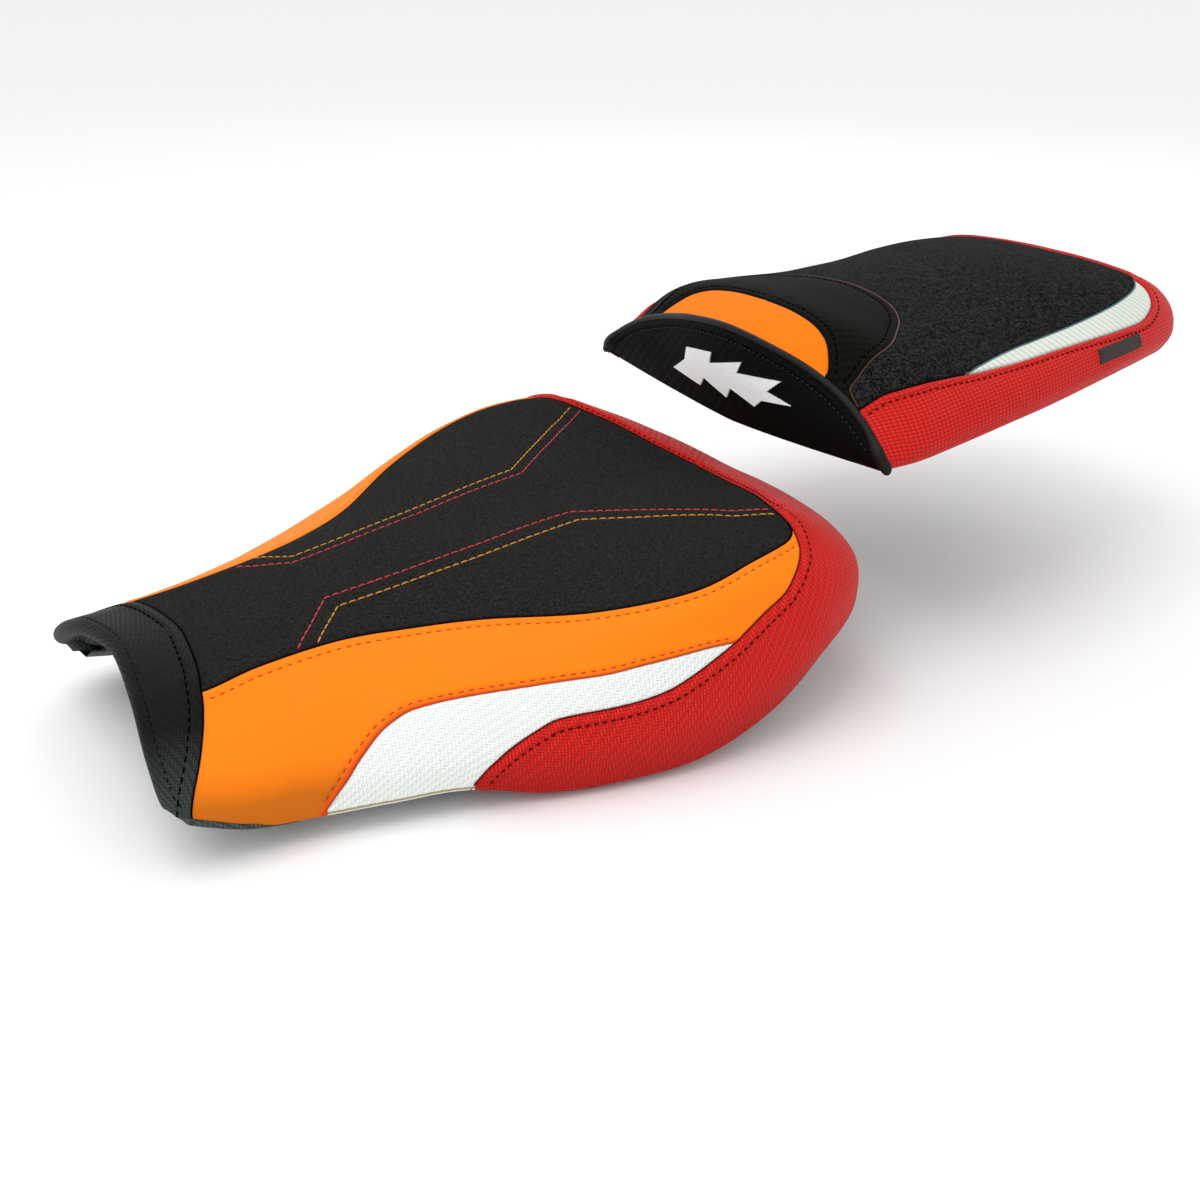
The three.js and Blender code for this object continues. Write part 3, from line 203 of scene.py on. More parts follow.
AMBER_THREAD_RIGHT = [
    (116.4, 51.7), (102.3, 29.8), (-26.2, 37.5), (-50.1, 56.5), (-75.6, 76.8), (-87, 84.3),
    (-97.5, 90.0)]
AMBER_THREAD_GUESS = [
    (.098, .508), (.117, .704), (.145, .671), (.172, .68), (.194, .675), (.217, .673),
    (.241, .685), (.265, .697), (.287, .687), (.312, .714), (.339, .659), (.349, .532)]


# ------------------------------------------------------------------ curves and surfaces
def unit(vectors):
    return vectors / (np.linalg.norm(vectors, axis=-1, keepdims=True) + 1e-12)


def smoothstep(x):
    return x * x * (3 - 2 * x)


def arc_length(points):
    steps = np.linalg.norm(np.diff(points, axis=0), axis=1)
    return np.concatenate([[0], np.cumsum(steps)])


def row_lengths(grid):
    """Length along each grid row, from its first point."""
    steps = np.linalg.norm(np.diff(grid, axis=1), axis=2)
    return np.concatenate([np.zeros((len(grid), 1)), np.cumsum(steps, axis=1)], 1)


def interp_points(places, known, points):
    """Interpolate every column of points."""
    return np.stack([np.interp(places, known, column) for column in points.T], 1)


def moving_average(points, reach):
    width = 2 * reach + 1
    kernel = np.ones(width) / width
    return np.stack([np.convolve(np.pad(column, reach, mode='edge'), kernel, 'valid')
                     for column in points.T], 1)


class SmoothTable:
    """A smooth curve through a table that does not overshoot its points."""
    def __init__(self, table, steps=6):
        x, y = np.array(table, float).T
        gap = np.diff(x)
        slope = np.diff(y) / gap
        tangent = np.zeros(len(x))
        tangent[0], tangent[-1] = slope[0], slope[-1]
        for i in range(1, len(x) - 1):
            if slope[i - 1] * slope[i] > 0:
                before, after = 2 * gap[i] + gap[i - 1], gap[i] + 2 * gap[i - 1]
                tangent[i] = (before + after) / (before / slope[i - 1] + after / slope[i])
        t = np.linspace(0, 1, steps, endpoint=False)
        dense_x, dense_y = [], []
        for i in range(len(x) - 1):
            dense_x.append(x[i] + t * gap[i])
            dense_y.append((2 * t**3 - 3 * t**2 + 1) * y[i]
                           + (t**3 - 2 * t**2 + t) * gap[i] * tangent[i]
                           + (-2 * t**3 + 3 * t**2) * y[i + 1]
                           + (t**3 - t**2) * gap[i] * tangent[i + 1])
        self.x = np.concatenate(dense_x + [[x[-1]]])
        self.y = np.concatenate(dense_y + [[y[-1]]])

    def __call__(self, place):
        return np.interp(place, self.x, self.y)


nose_turn, top_rise, white_rise, red_rise = map(
    SmoothTable, (NOSE_SEAM, TOP_SEAM, WHITE_SEAM, RED_SEAM))
pillion_top_rise, pillion_red_rise, arch_turn, crescent_turn = map(
    SmoothTable, (PILLION_TOP_SEAM, PILLION_RED_SEAM, ARCH_SEAM, CRESCENT_SEAM))


def catmull_rom(p0, p1, p2, p3, t):
    return 0.5 * ((2 * p1) + (-p0 + p2) * t + (2 * p0 - 5 * p1 + 4 * p2 - p3) * t * t
                  + (-p0 + 3 * p1 - 3 * p2 + p3) * t ** 3)


class Net:
    """A cover surface. Turn runs 0..1 from the front edge down the left side, past the rear
    centre at 0.5 and back up the right; rise runs 0..1 from the rim to the centre plane."""
    def __init__(self, seat, stations, floor):
        self.seat = seat
        half = np.array(stations, float)
        self.stations = np.concatenate([half, half[:-1][::-1] * np.array([1, -1, 1])])
        self.last = len(self.stations) - 1
        self.last_row = half.shape[1] - 1
        self.floor = np.array(floor + floor[:-1][::-1], float)
        self.swell = None

    def control(self, station, row):
        """A control point; rows past either end are extrapolated or taken from across."""
        station = np.clip(station, 0, self.last)
        point = self.stations[station, np.clip(row, 0, self.last_row)]
        below = 2 * self.stations[station, 0] - self.stations[station, 1]
        across_row = np.clip(2 * self.last_row - row, 0, self.last_row)
        point = np.where((row < 0)[..., None], below, point)
        return np.where((row > self.last_row)[..., None],
                        self.stations[self.last - station, across_row], point)

    def point(self, turn, rise):
        turn = np.clip(np.asarray(turn, float), 0, 1) * self.last
        rise = np.clip(np.asarray(rise, float), 0, 1) * self.last_row
        turn, rise = np.broadcast_arrays(turn, rise)
        station = np.minimum(turn.astype(int), self.last - 1)
        row = np.minimum(rise.astype(int), self.last_row - 1)
        along = (turn - station)[..., None]
        up = (rise - row)[..., None]

        def on(j):
            return catmull_rom(*[self.control(j, row + k) for k in (-1, 0, 1, 2)], up)
        p1, p2 = on(station), on(station + 1)
        p0 = np.where((station == 0)[..., None], 2 * p1 - p2, on(station - 1))
        p3 = np.where((station == self.last - 1)[..., None], 2 * p2 - p1, on(station + 2))
        return catmull_rom(p0, p1, p2, p3, along)

    def local(self, turn, rise):
        """Points, change with turn, change with rise, and outward normals."""
        turn = np.clip(np.asarray(turn, float), 0, 1)
        rise = np.clip(np.asarray(rise, float), 0, 1)
        turn, rise = np.broadcast_arrays(turn, rise)
        nudge = 0.0015
        turn0, turn1 = np.clip(turn - nudge, 0, 1), np.clip(turn + nudge, 0, 1)
        rise0, rise1 = np.clip(rise - nudge, 0, 0.9995), np.clip(rise + nudge, 0, 0.9995)
        off_centre = np.minimum(rise, 0.994)
        by_turn = ((self.point(turn1, off_centre) - self.point(turn0, off_centre))
                   / (turn1 - turn0)[..., None])
        by_rise = ((self.point(turn, rise1) - self.point(turn, rise0))
                   / (rise1 - rise0 + 1e-12)[..., None])
        return self.point(turn, rise), by_turn, by_rise, unit(np.cross(by_turn, by_rise))

    def pan(self, turn, inward):
        """A point on the pan below, inward 0..1 from its edge to the centre plane."""
        rim = self.point(turn, 0 * turn)
        crown = self.point(turn, 0 * turn + 1)
        normal = self.local(turn, 0 * turn + 0.03)[3]
        level = np.linalg.norm(normal[..., :2], axis=-1)
        place = turn * self.last
        j = np.minimum(place.astype(int), self.last - 1)
        centre_z = self.floor[j] + (self.floor[j + 1] - self.floor[j]) * (place - j)
        edge_x = rim[..., 0] - normal[..., 0] / level * PAN_INSET
        edge_y = rim[..., 1] - normal[..., 1] / level * PAN_INSET
        edge_z = rim[..., 2] + 1.0
        climb = np.sin(inward * np.pi / 2)
        return np.stack([edge_x + (crown[..., 0] - edge_x) * inward, edge_y * (1 - inward),
                         edge_z + (centre_z - edge_z) * climb], -1)

    def pan_half_width(self, turn):
        return np.linalg.norm((self.pan(turn, 0 * turn + 1)
                               - self.pan(turn, 0 * turn))[:, :2], axis=1)


rider = Net(RIDER_SEAT, RIDER_NET, RIDER_FLOOR)
pillion = Net(PILLION_SEAT, PILLION_NET, PILLION_FLOOR)


# ------------------------------------------------------------------ seam and stitch curves
# A curve is a dense array of [turn, rise].
def curve_by_turn(rise_at, start, end, count=220):
    turn = np.linspace(start, end, count)
    return np.stack([rise_at(turn), turn], 1)[:, ::-1]


def curve_by_rise(turn_at, start, end):
    rise = np.linspace(start, end, 160)
    return np.stack([turn_at(rise), rise], 1)


def other_side(curve):
    return np.stack([1 - curve[:, 0], curve[:, 1]], 1)


def both(*curves):
    return [one for curve in curves for one in (curve, other_side(curve))]


def past(curve, turn):
    """The part of a curve farther from the front edge than a turn, on either side."""
    return curve[np.minimum(curve[:, 0], 1 - curve[:, 0]) > turn]


def resample(net, curve, step):
    length = arc_length(net.point(curve[:, 0], curve[:, 1]))
    return interp_points(np.arange(0, length[-1], step), length, curve)


def offset(net, curve, distance, toward):
    """The curve moved sideways over the surface, to the side [turn, rise] points to."""
    curve = resample(net, curve, 1.5)
    points, by_turn, by_rise, normals = net.local(curve[:, 0], curve[:, 1])
    heading = unit(moving_average(np.gradient(points, axis=0), 5))
    sideways = unit(np.cross(normals, heading))
    wanted = by_turn * toward[0] + by_rise * toward[1]
    sideways *= np.sign((sideways * wanted).sum(1))[:, None]
    slopes = np.stack([by_turn, by_rise], -1)
    if callable(distance):
        distance = distance(curve[:, 0])
    move = sideways * np.broadcast_to(distance, len(curve))[:, None]
    moved = curve + np.array([np.linalg.lstsq(slopes[i], move[i], rcond=None)[0]
                              for i in range(len(curve))])
    return moved[((moved >= 0) & (moved <= 1)).all(1)]


def from_top(net, corners, guesses):
    """Straight runs seen from above, laid on the surface."""
    corners, guesses = np.array(corners, float), np.array(guesses, float)
    length = arc_length(corners)
    target = interp_points(np.arange(0, length[-1], 1.0), length, corners)
    guess_xy = net.point(guesses[:, 0], guesses[:, 1])[:, :2]
    curve = np.array([guesses[np.argmin(((guess_xy - xy) ** 2).sum(1))] for xy in target])
    for _ in range(12):
        points, by_turn, by_rise, _ = net.local(curve[:, 0], curve[:, 1])
        slopes = np.stack([by_turn[:, :2], by_rise[:, :2]], -1) + np.eye(2) * 1e-6
        miss = target - points[:, :2]
        curve = curve + np.clip(np.linalg.solve(slopes, miss[..., None])[..., 0], -0.03, 0.03)
    return curve


def top_threads(left, right, guesses):
    """The left and the right thread, kept inside the top seam."""
    left, right = [from_top(rider, corners, guesses) for corners in (left, right)]
    left, right = [curve[curve[:, 1] > top_rise(curve[:, 0]) + 0.008]
                   for curve in (left, right)]
    return [left, other_side(right)]


nose_seam = curve_by_rise(nose_turn, 0, 1)
top_seam = curve_by_turn(top_rise, 0.0, 0.5, 400)
top_seam = top_seam[top_seam[:, 0] >= NOSE_CORNER]
white_seam = curve_by_turn(white_rise, 0.075, WHITE_END)
red_seam = curve_by_turn(red_rise, 0.144, 0.5, 400)
pillion_top_seam = curve_by_turn(pillion_top_rise, 0, 0.5, 400)
pillion_red_seam = curve_by_turn(pillion_red_rise, 0, 0.5, 400)
arch_seam = curve_by_rise(arch_turn, 0.42, 1)
crescent_seam = curve_by_rise(crescent_turn, 0.6, 1)
insert_top, insert_low = [
    seam[(seam[:, 0] > INSERT_SPAN[0]) & (seam[:, 0] < INSERT_SPAN[1])]
    for seam in (pillion_top_seam, pillion_red_seam)]
rider.seams = both(nose_seam, top_seam, white_seam, red_seam)
pillion.seams = both(pillion_top_seam, insert_low, arch_seam, crescent_seam)
front_hem = np.stack([np.full(120, 0.0), np.linspace(0.12, 1, 120)], 1)


def white_distance(turn):
    return 3.2 - 0.9 * np.clip((turn - 0.11) / 0.03, 0, 1)


def red_distance(turn):
    return 5.4 - 3.7 * np.clip((turn - 0.335) / 0.04, 0, 1)


# stitch lines, each a fixed distance from its seam
STITCH_LINES = {
    'nose': both(offset(rider, nose_seam[nose_seam[:, 1] > 0.05],
                        distance=5.6, toward=(-1, 0))),
    'hem': both(offset(rider, front_hem, distance=4.6, toward=(1, 0))),
    'side_top': both(offset(rider, top_seam[top_seam[:, 0] < 0.318],
                            distance=4.5, toward=(0, -1))),
    'side_white': [past(line, 0.045) for line in both(
        offset(rider, past(white_seam, 0.08), distance=white_distance, toward=(0, 1)))],
    'red': both(offset(rider, red_seam[red_seam[:, 0] > 0.147],
                       distance=red_distance, toward=(0.2, -1))),
    'top_red': top_threads(RED_THREAD_LEFT, RED_THREAD_RIGHT, RED_THREAD_GUESS),
    'top_amber': top_threads(AMBER_THREAD_LEFT, AMBER_THREAD_RIGHT, AMBER_THREAD_GUESS),
    'pillion_red': both(offset(pillion, pillion_red_seam[pillion_red_seam[:, 0] > 0.006],
                               distance=5.0, toward=(0, -1))),
    'arch': [past(line, 0.006) for line in both(
        offset(pillion, arch_seam[arch_seam[:, 1] > 0.5], distance=4.6, toward=(-1, 0)))],
    'crescent': both(offset(pillion, crescent_seam, distance=4.4, toward=(1, 0))),
}


# ------------------------------------------------------------------ how panels sit
class Near:
    """Distance from points to the nearest of a fixed set."""
    def __init__(self, points):
        self.tree = KDTree(len(points))
        for i, point in enumerate(points):
            self.tree.insert(point, i)
        self.tree.balance()

    def __call__(self, points):
        distances = [self.tree.find(point)[2] for point in points.reshape(-1, 3)]
        return np.array(distances).reshape(points.shape[:-1])


def near_lines(net, curves, step):
    dense = [resample(net, curve, step) for curve in curves if len(curve) > 1]
    return Near(np.concatenate([net.point(curve[:, 0], curve[:, 1]) for curve in dense]))


WAVES = [(unit(rng.normal(0, 1, 3)), rng.uniform(0, 6.28)) for _ in range(10)]


def undulate(points):
    """Slight unevenness: waves in random directions, each longer than the last."""
    height = 0
    for i, (direction, phase) in enumerate(WAVES):
        wavelength = 38 + 9 * i
        height = height + np.sin(points @ direction * (2 * np.pi / wavelength) + phase)
    return height * 0.055


def padding(net, turn, rise):
    """The simulated swelling, read between its grid points."""
    field = net.swell
    if field is None:
        return np.zeros(np.broadcast(turn, rise).shape)
    turn, rise = np.broadcast_arrays(turn, rise)
    x = np.clip(turn, 0, 1) * (field.shape[0] - 1)
    y = np.clip(rise, 0, 1) * (field.shape[1] - 1)
    i = np.minimum(x.astype(int), field.shape[0] - 2)
    j = np.minimum(y.astype(int), field.shape[1] - 2)
    x, y = smoothstep(x - i), smoothstep(y - j)
    return (field[i, j] * (1 - x) * (1 - y) + field[i + 1, j] * x * (1 - y)
            + field[i, j + 1] * (1 - x) * y + field[i + 1, j + 1] * x * y)


def bend_rise(net, turn, height=3.0):
    """The rise, some mm above the rim, where the cover starts to bend under."""
    turn = np.asarray(turn, float)
    span = np.linalg.norm(net.point(turn, 0 * turn + 0.1) - net.point(turn, 0 * turn), axis=-1)
    return 0.1 * height / span


class Look:
    """How a panel sits: seams roll in, stitch lines sink, and the pad swells between."""
    THREAD_SINK, THREAD_WIDTH = 0.42, 0.85           # groove along a stitch line
    FOLD_PLACE, FOLD_WIDTH, FOLD_REACH = 2.2, 1.15, 5.2   # ridge between thread and seam

    def __init__(self, net, lines, roll, depth, swell=0.0, fold=0.38):
        self.net, self.roll, self.depth = net, roll, depth
        self.swell, self.fold = swell, fold
        curves = [curve for key in lines for curve in STITCH_LINES[key]]
        self.thread_near = near_lines(net, curves, 0.4) if curves else None

    def __call__(self, turn, rise, lift=0.0):
        points, _, _, normals = self.net.local(turn, rise)
        seam = self.net.seam_near(points)
        inside = np.clip((self.roll - seam) / self.roll, 0, 1)
        height = (-(1 - np.sqrt(np.clip(1 - inside * inside, 0, 1))) * self.depth
                  + self.swell * np.clip(seam / self.roll, 0, 1))
        height = (height + padding(self.net, turn, rise)
                  + undulate(points) * np.clip(seam / 8, 0, 1))
        if self.thread_near is not None:
            thread = self.thread_near(points)
            ridge = np.exp(-((thread - self.FOLD_PLACE) / self.FOLD_WIDTH) ** 2)
            height = (height - self.THREAD_SINK * np.exp(-(thread / self.THREAD_WIDTH) ** 2)
                      + self.fold * ridge * (seam < self.FOLD_REACH)
                      * np.clip(seam / 1.2, 0, 1))
        return points + normals * (height + lift)[..., None]


def grid_faces(ids, uv):
    """Faces of a grid with repeated corners dropped, and the uv of every kept corner."""
    faces, face_uvs = [], []
    for i in range(ids.shape[0] - 1):
        for j in range(ids.shape[1] - 1):
            face, corner_uvs = [], []
            for corner in ((i, j), (i + 1, j), (i + 1, j + 1), (i, j + 1)):
                vertex = int(ids[corner])
                if vertex not in face:
                    face.append(vertex)
                    corner_uvs.append(uv[corner])
            if len(face) > 2:
                faces.append(face)
                face_uvs.extend(corner_uvs)
    return faces, face_uvs


# ------------------------------------------------------------------ padding simulation
PAD_GRID = (121, 25)
PAD_FRAMES = 20
PAD_CLOTH = dict(
    quality=6, mass=0.25, tension_stiffness=18, compression_stiffness=18, shear_stiffness=6,
    bending_stiffness=1.2, air_damping=4, vertex_group_mass='hold', use_pressure=True,
    uniform_pressure_force=4.0)


def inflate(net, name, limit):
    """Blow the cover up as cloth held at its seams; returns the swelling in mm on a grid."""
    turns, rises = PAD_GRID
    turn, rise = np.meshgrid(np.linspace(0, 1, turns), np.linspace(0, 1, rises), indexing='ij')
    points, _, _, normals = net.local(turn, rise)
    ids = np.arange(turns * rises).reshape(turns, rises)
    for i in range(turns // 2 + 1, turns):       # the halves share the centre plane
        ids[i, -1] = ids[turns - 1 - i, -1]
    used = np.unique(ids)
    ids = np.searchsorted(used, ids)
    rest = points.reshape(-1, 3)[used]
    mesh = bpy.data.meshes.new(name)
    mesh.from_pydata((rest * MM).tolist(), [], grid_faces(ids, points)[0])
    mesh.update()
    sheet = bpy.data.objects.new(name, mesh)
    scene.collection.objects.link(sheet)

    held = np.clip((10.0 - net.seam_near(points)) / 6.0, 0, 1)
    held = np.where((rise < 0.03) | (turn < 0.004) | (turn > 0.996), 1.0, held)
    group = sheet.vertex_groups.new(name='hold')
    for i, weight in enumerate(held.reshape(-1)[used]):
        if weight > 0:
            group.add([i], float(weight), 'REPLACE')

    cloth = sheet.modifiers.new('pad', 'CLOTH')
    for key, value in PAD_CLOTH.items():
        setattr(cloth.settings, key, value)
    cloth.settings.effector_weights.gravity = 0.0
    cloth.point_cache.frame_start, cloth.point_cache.frame_end = 1, PAD_FRAMES
    scene.frame_start, scene.frame_end = 1, PAD_FRAMES
    for i in range(1, PAD_FRAMES + 1):
        scene.frame_set(i)
    blown = sheet.evaluated_get(bpy.context.evaluated_depsgraph_get()).to_mesh()
    places = np.empty(len(blown.vertices) * 3)
    blown.vertices.foreach_get('co', places)
    places = places.reshape(-1, 3) / MM
    scene.frame_set(1)
    bpy.data.objects.remove(sheet)

    swell = ((places - rest) * normals.reshape(-1, 3)[used]).sum(1)[ids]
    swell = swell * min(1.0, limit / (np.percentile(np.abs(swell), 98) + 1e-9))
    swell = limit * 1.3 * np.tanh(swell / (limit * 1.3))
    for _ in range(2):
        for view in (swell, swell.T):
            view[1:-1] = (view[:-2] + 2 * view[1:-1] + view[2:]) / 4
    swell[:, 0] = 0
    return swell


for net, name, limit in ((rider, 'pad_rider', 1.5), (pillion, 'pad_pillion', 1.3)):
    net.seam_near = near_lines(net, net.seams, 0.35)
    net.edges = {'edge': net.seam_near}
    net.swell = inflate(net, name, limit)

# ------------------------------------------------------------------ grids and meshes
# distances of the close rows from a seam
SEAM_ROWS = np.array([0, .12, .3, .6, 1.0, 1.5, 2.1, 2.8, 3.5, 4.1, 4.6, 5.0, 5.4, 6.0,
                      6.8, 7.9, 9.2])


def row_count(length, at_start=True, at_end=True):
    ends = at_start + at_end
    close = ends * len(SEAM_ROWS) + (2 - ends)
    return close + max(2, math.ceil((length - (SEAM_ROWS[-1] if at_start else 0)
                                     - (SEAM_ROWS[-1] if at_end else 0)) / STEP))


def spread(length, count, at_start=True, at_end=True):
    """Row places 0..1, close together at the ends that are seams."""
    ends = at_start + at_end
    if ends == 0:
        return np.linspace(0, 1, count)
    close = SEAM_ROWS * min(1.0, length / (ends * 1.25 * SEAM_ROWS[-1]))
    first = close if at_start else np.array([0.0])
    last = (length - close)[::-1] if at_end else np.array([length])
    middle = np.linspace(first[-1], last[0], count - len(first) - len(last) + 2)[1:-1]
    return np.concatenate([first, middle, last]) / max(length, 1e-9)


def column_samples(net, turn, low, high, count):
    rise = low[:, None] + (high - low)[:, None] * np.linspace(0, 1, count)
    return rise, row_lengths(net.point(turn[:, None] + 0 * rise, rise))


def rows_between(net, turn, low, high, at_low, at_high):
    """Grids of turn and rise with rows spread by length from low to high."""
    longest = column_samples(net, turn, low, high, 14)[1][:, -1].max()
    count = row_count(longest, at_low, at_high)
    rise, length = column_samples(net, turn, low, high, 30)
    rows = np.empty((len(turn), count))
    for i in range(len(turn)):
        places = spread(length[i, -1], count, at_low, at_high)
        rows[i] = np.interp(places, length[i] / max(length[i, -1], 1e-9), rise[i])
        rows[i, 0], rows[i, -1] = low[i], high[i]
    return np.repeat(turn[:, None], count, 1), rows


def even_turns(net, start, end, rise, at_start=True, at_end=True):
    """Column places from start to end, even by length at one rise."""
    turn = np.linspace(start, end, 400)
    length = arc_length(net.point(turn, 0 * turn + rise))
    count = row_count(length[-1], at_start, at_end)
    columns = np.interp(spread(length[-1], count, at_start, at_end) * length[-1], length, turn)
    columns[0], columns[-1] = start, end
    return columns


def even_rises(net, turn, low):
    """Rises from low to the centre plane, even by length at one turn."""
    rise = np.linspace(low, 1, 300)
    length = arc_length(net.point(0 * rise + turn, rise))
    return np.interp(np.linspace(0, length[-1], int(length[-1] / STEP) + 1), length, rise)


def rim_length(net, turn):
    places = np.linspace(0, 1, 900)
    return np.interp(turn, places, arc_length(net.point(places, 0 * places + 0.25)))


def uv_side(net, turn, rise, points):
    """In mm, u runs round the rim and v up from it."""
    start = column_samples(net, turn[:, 0], 0 * turn[:, 0], rise[:, 0] + 1e-6, 14)[1][:, -1]
    return np.stack([rim_length(net, turn), row_lengths(points) + start[:, None]], -1)


def uv_top(points):
    return points[..., :2].copy()


def uv_grid(first, second):
    return np.stack(np.meshgrid(first, second, indexing='ij'), -1)


def add_object(name, mesh, finish, seat, stands=()):
    mesh.shade_smooth()
    mesh.materials.append(FINISH[finish])
    piece = bpy.data.objects.new(name, mesh)
    scene.collection.objects.link(piece)
    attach(piece, seat)
    if stands:
        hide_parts(*stands)


def add_grids(name, grids, finish, seat, stands=(), edges=None):
    """One mesh from grids of (points, uv); shared points are welded."""
    points = np.concatenate([grid[0].reshape(-1, 3) for grid in grids])
    welds = np.round(points * 250).astype(np.int64)
    _, first, ids = np.unique(welds, axis=0, return_index=True, return_inverse=True)
    ids, points = ids.reshape(-1), points[first]
    faces, uvs, base = [], [], 0
    for grid, uv in grids:
        rows, columns = grid.shape[:2]
        grid_ids = ids[base:base + rows * columns].reshape(rows, columns)
        base += rows * columns
        new_faces, new_uvs = grid_faces(grid_ids, uv)
        faces.extend(new_faces)
        uvs.extend(new_uvs)
    mesh = bpy.data.meshes.new(name)
    mesh.from_pydata((points * MM).tolist(), [], faces)
    for key, near in (edges or {}).items():
        values = near(points).astype(np.float32)
        mesh.attributes.new(key, 'FLOAT', 'POINT').data.foreach_set('value', values)
    mesh.uv_layers.new(name='fab').data.foreach_set('uv', np.array(uvs, np.float32).ravel())
    add_object(name, mesh, finish, seat, stands)


def pan_sag(net, turn):
    """How much lower the turned-under cover hangs to clear the pan's edge."""
    return 1.2 * np.clip((turn - 0.1) / 0.03, 0, 1) if net is rider else 0 * turn


def under(net, turn, look, reach=10.0, drop=3.05):
    """The cover turned under the rim and over the pan's lower edge, cut edge first."""
    rim, _, by_rise, normals = net.local(turn, 0 * turn)
    top = look(turn, bend_rise(net, turn))
    near_turn = np.where(turn > 0.5, 1 - turn, turn)
    side = np.where(turn > 0.5, -1.0, 1.0)

    def below_pan(inward, distance):
        points = net.pan(near_turn, inward)
        points[:, 1] *= side
        points[:, 2] -= distance
        return points
    edge = below_pan(0 * near_turn, drop)
    bend = rim - unit(by_rise) * 0.7 + normals * 0.25
    bend[:, 2] = np.minimum(bend[:, 2], edge[:, 2] + 1.4)
    half_width = net.pan_half_width(near_turn)
    rows = []
    # the cut edge first turns up by 0.9 mm
    for part, turned_up in ((1, 0.9), (1, 0), (.75, 0), (.5, 0), (.25, 0)):
        inward = np.clip(reach * part / half_width, 0, 0.5)
        rows.append(below_pan(inward, drop + pan_sag(net, near_turn) - turned_up))
    for t in (0, .15, .3, .45, .6, .75, .88):
        rows.append(((1 - t) ** 2) * edge + 2 * t * (1 - t) * bend + t * t * top)
    grid = np.stack(rows + [top], 1)
    height = row_lengths(grid)
    height = height - height[:, -1:]
    around = np.repeat(rim_length(net, turn)[:, None], grid.shape[1], 1)
    return grid, np.stack([around, height], -1)


def flipped(grids):
    """Grids with their columns reversed, so right-hand faces look outward."""
    return [(points[::-1], uv[::-1]) for points, uv in grids]


def across(turn, rise, look):
    """The left and then the right half of a panel that crosses the centre plane."""
    turn = np.concatenate([turn, (1 - turn)[:, ::-1][:, 1:]], 1)
    rise = np.concatenate([rise, rise[:, ::-1][:, 1:]], 1)
    points = look(turn, rise)
    return points, uv_top(points)


# ------------------------------------------------------------------ material tools
FINISH = {}                              # material by name


def linear(rgb):
    """Linear colour from 0..255 display values."""
    rgb = np.array(rgb, float) / 255
    return tuple(np.where(rgb <= 0.04045, rgb / 12.92, ((rgb + 0.055) / 1.055) ** 2.4)) + (1.0,)


class Value:
    """A node socket that can be used in sums."""
    def __init__(self, tree, socket):
        self.tree, self.socket = tree, socket

    def math(self, operation, *others):
        node = self.tree.nodes.new('ShaderNodeMath')
        node.operation = operation
        for i, value in enumerate((self,) + others):
            if isinstance(value, Value):
                self.tree.links.new(value.socket, node.inputs[i])
            else:
                node.inputs[i].default_value = float(value)
        return Value(self.tree, node.outputs[0])

    def __add__(self, other): return self.math('ADD', other)
    def __sub__(self, other): return self.math('SUBTRACT', other)
    def __rsub__(self, other): return (self * -1.0) + other
    def __mul__(self, other): return self.math('MULTIPLY', other)
    def __truediv__(self, other): return self.math('DIVIDE', other)
    def __pow__(self, other): return self.math('POWER', other)
    def floor(self): return self.math('FLOOR')
    def mod(self, other): return self.math('FLOORED_MODULO', other)
    def above(self, other): return self.math('GREATER_THAN', other)
    def clamp(self): return self.math('MINIMUM', 1.0).math('MAXIMUM', 0.0)

    def ramp(self, start, end):
        """0 at start to 1 at end."""
        return ((self - start) / (end - start)).clamp()

    def ribs(self, pitch):
        """Rounded ridges at a pitch."""
        return (self * (PI / pitch)).math('SINE').math('ABSOLUTE')


def mixed(first, second, share):
    """Two values added, the second by its share and the first by the rest."""
    return first * (1 - share) + second * share


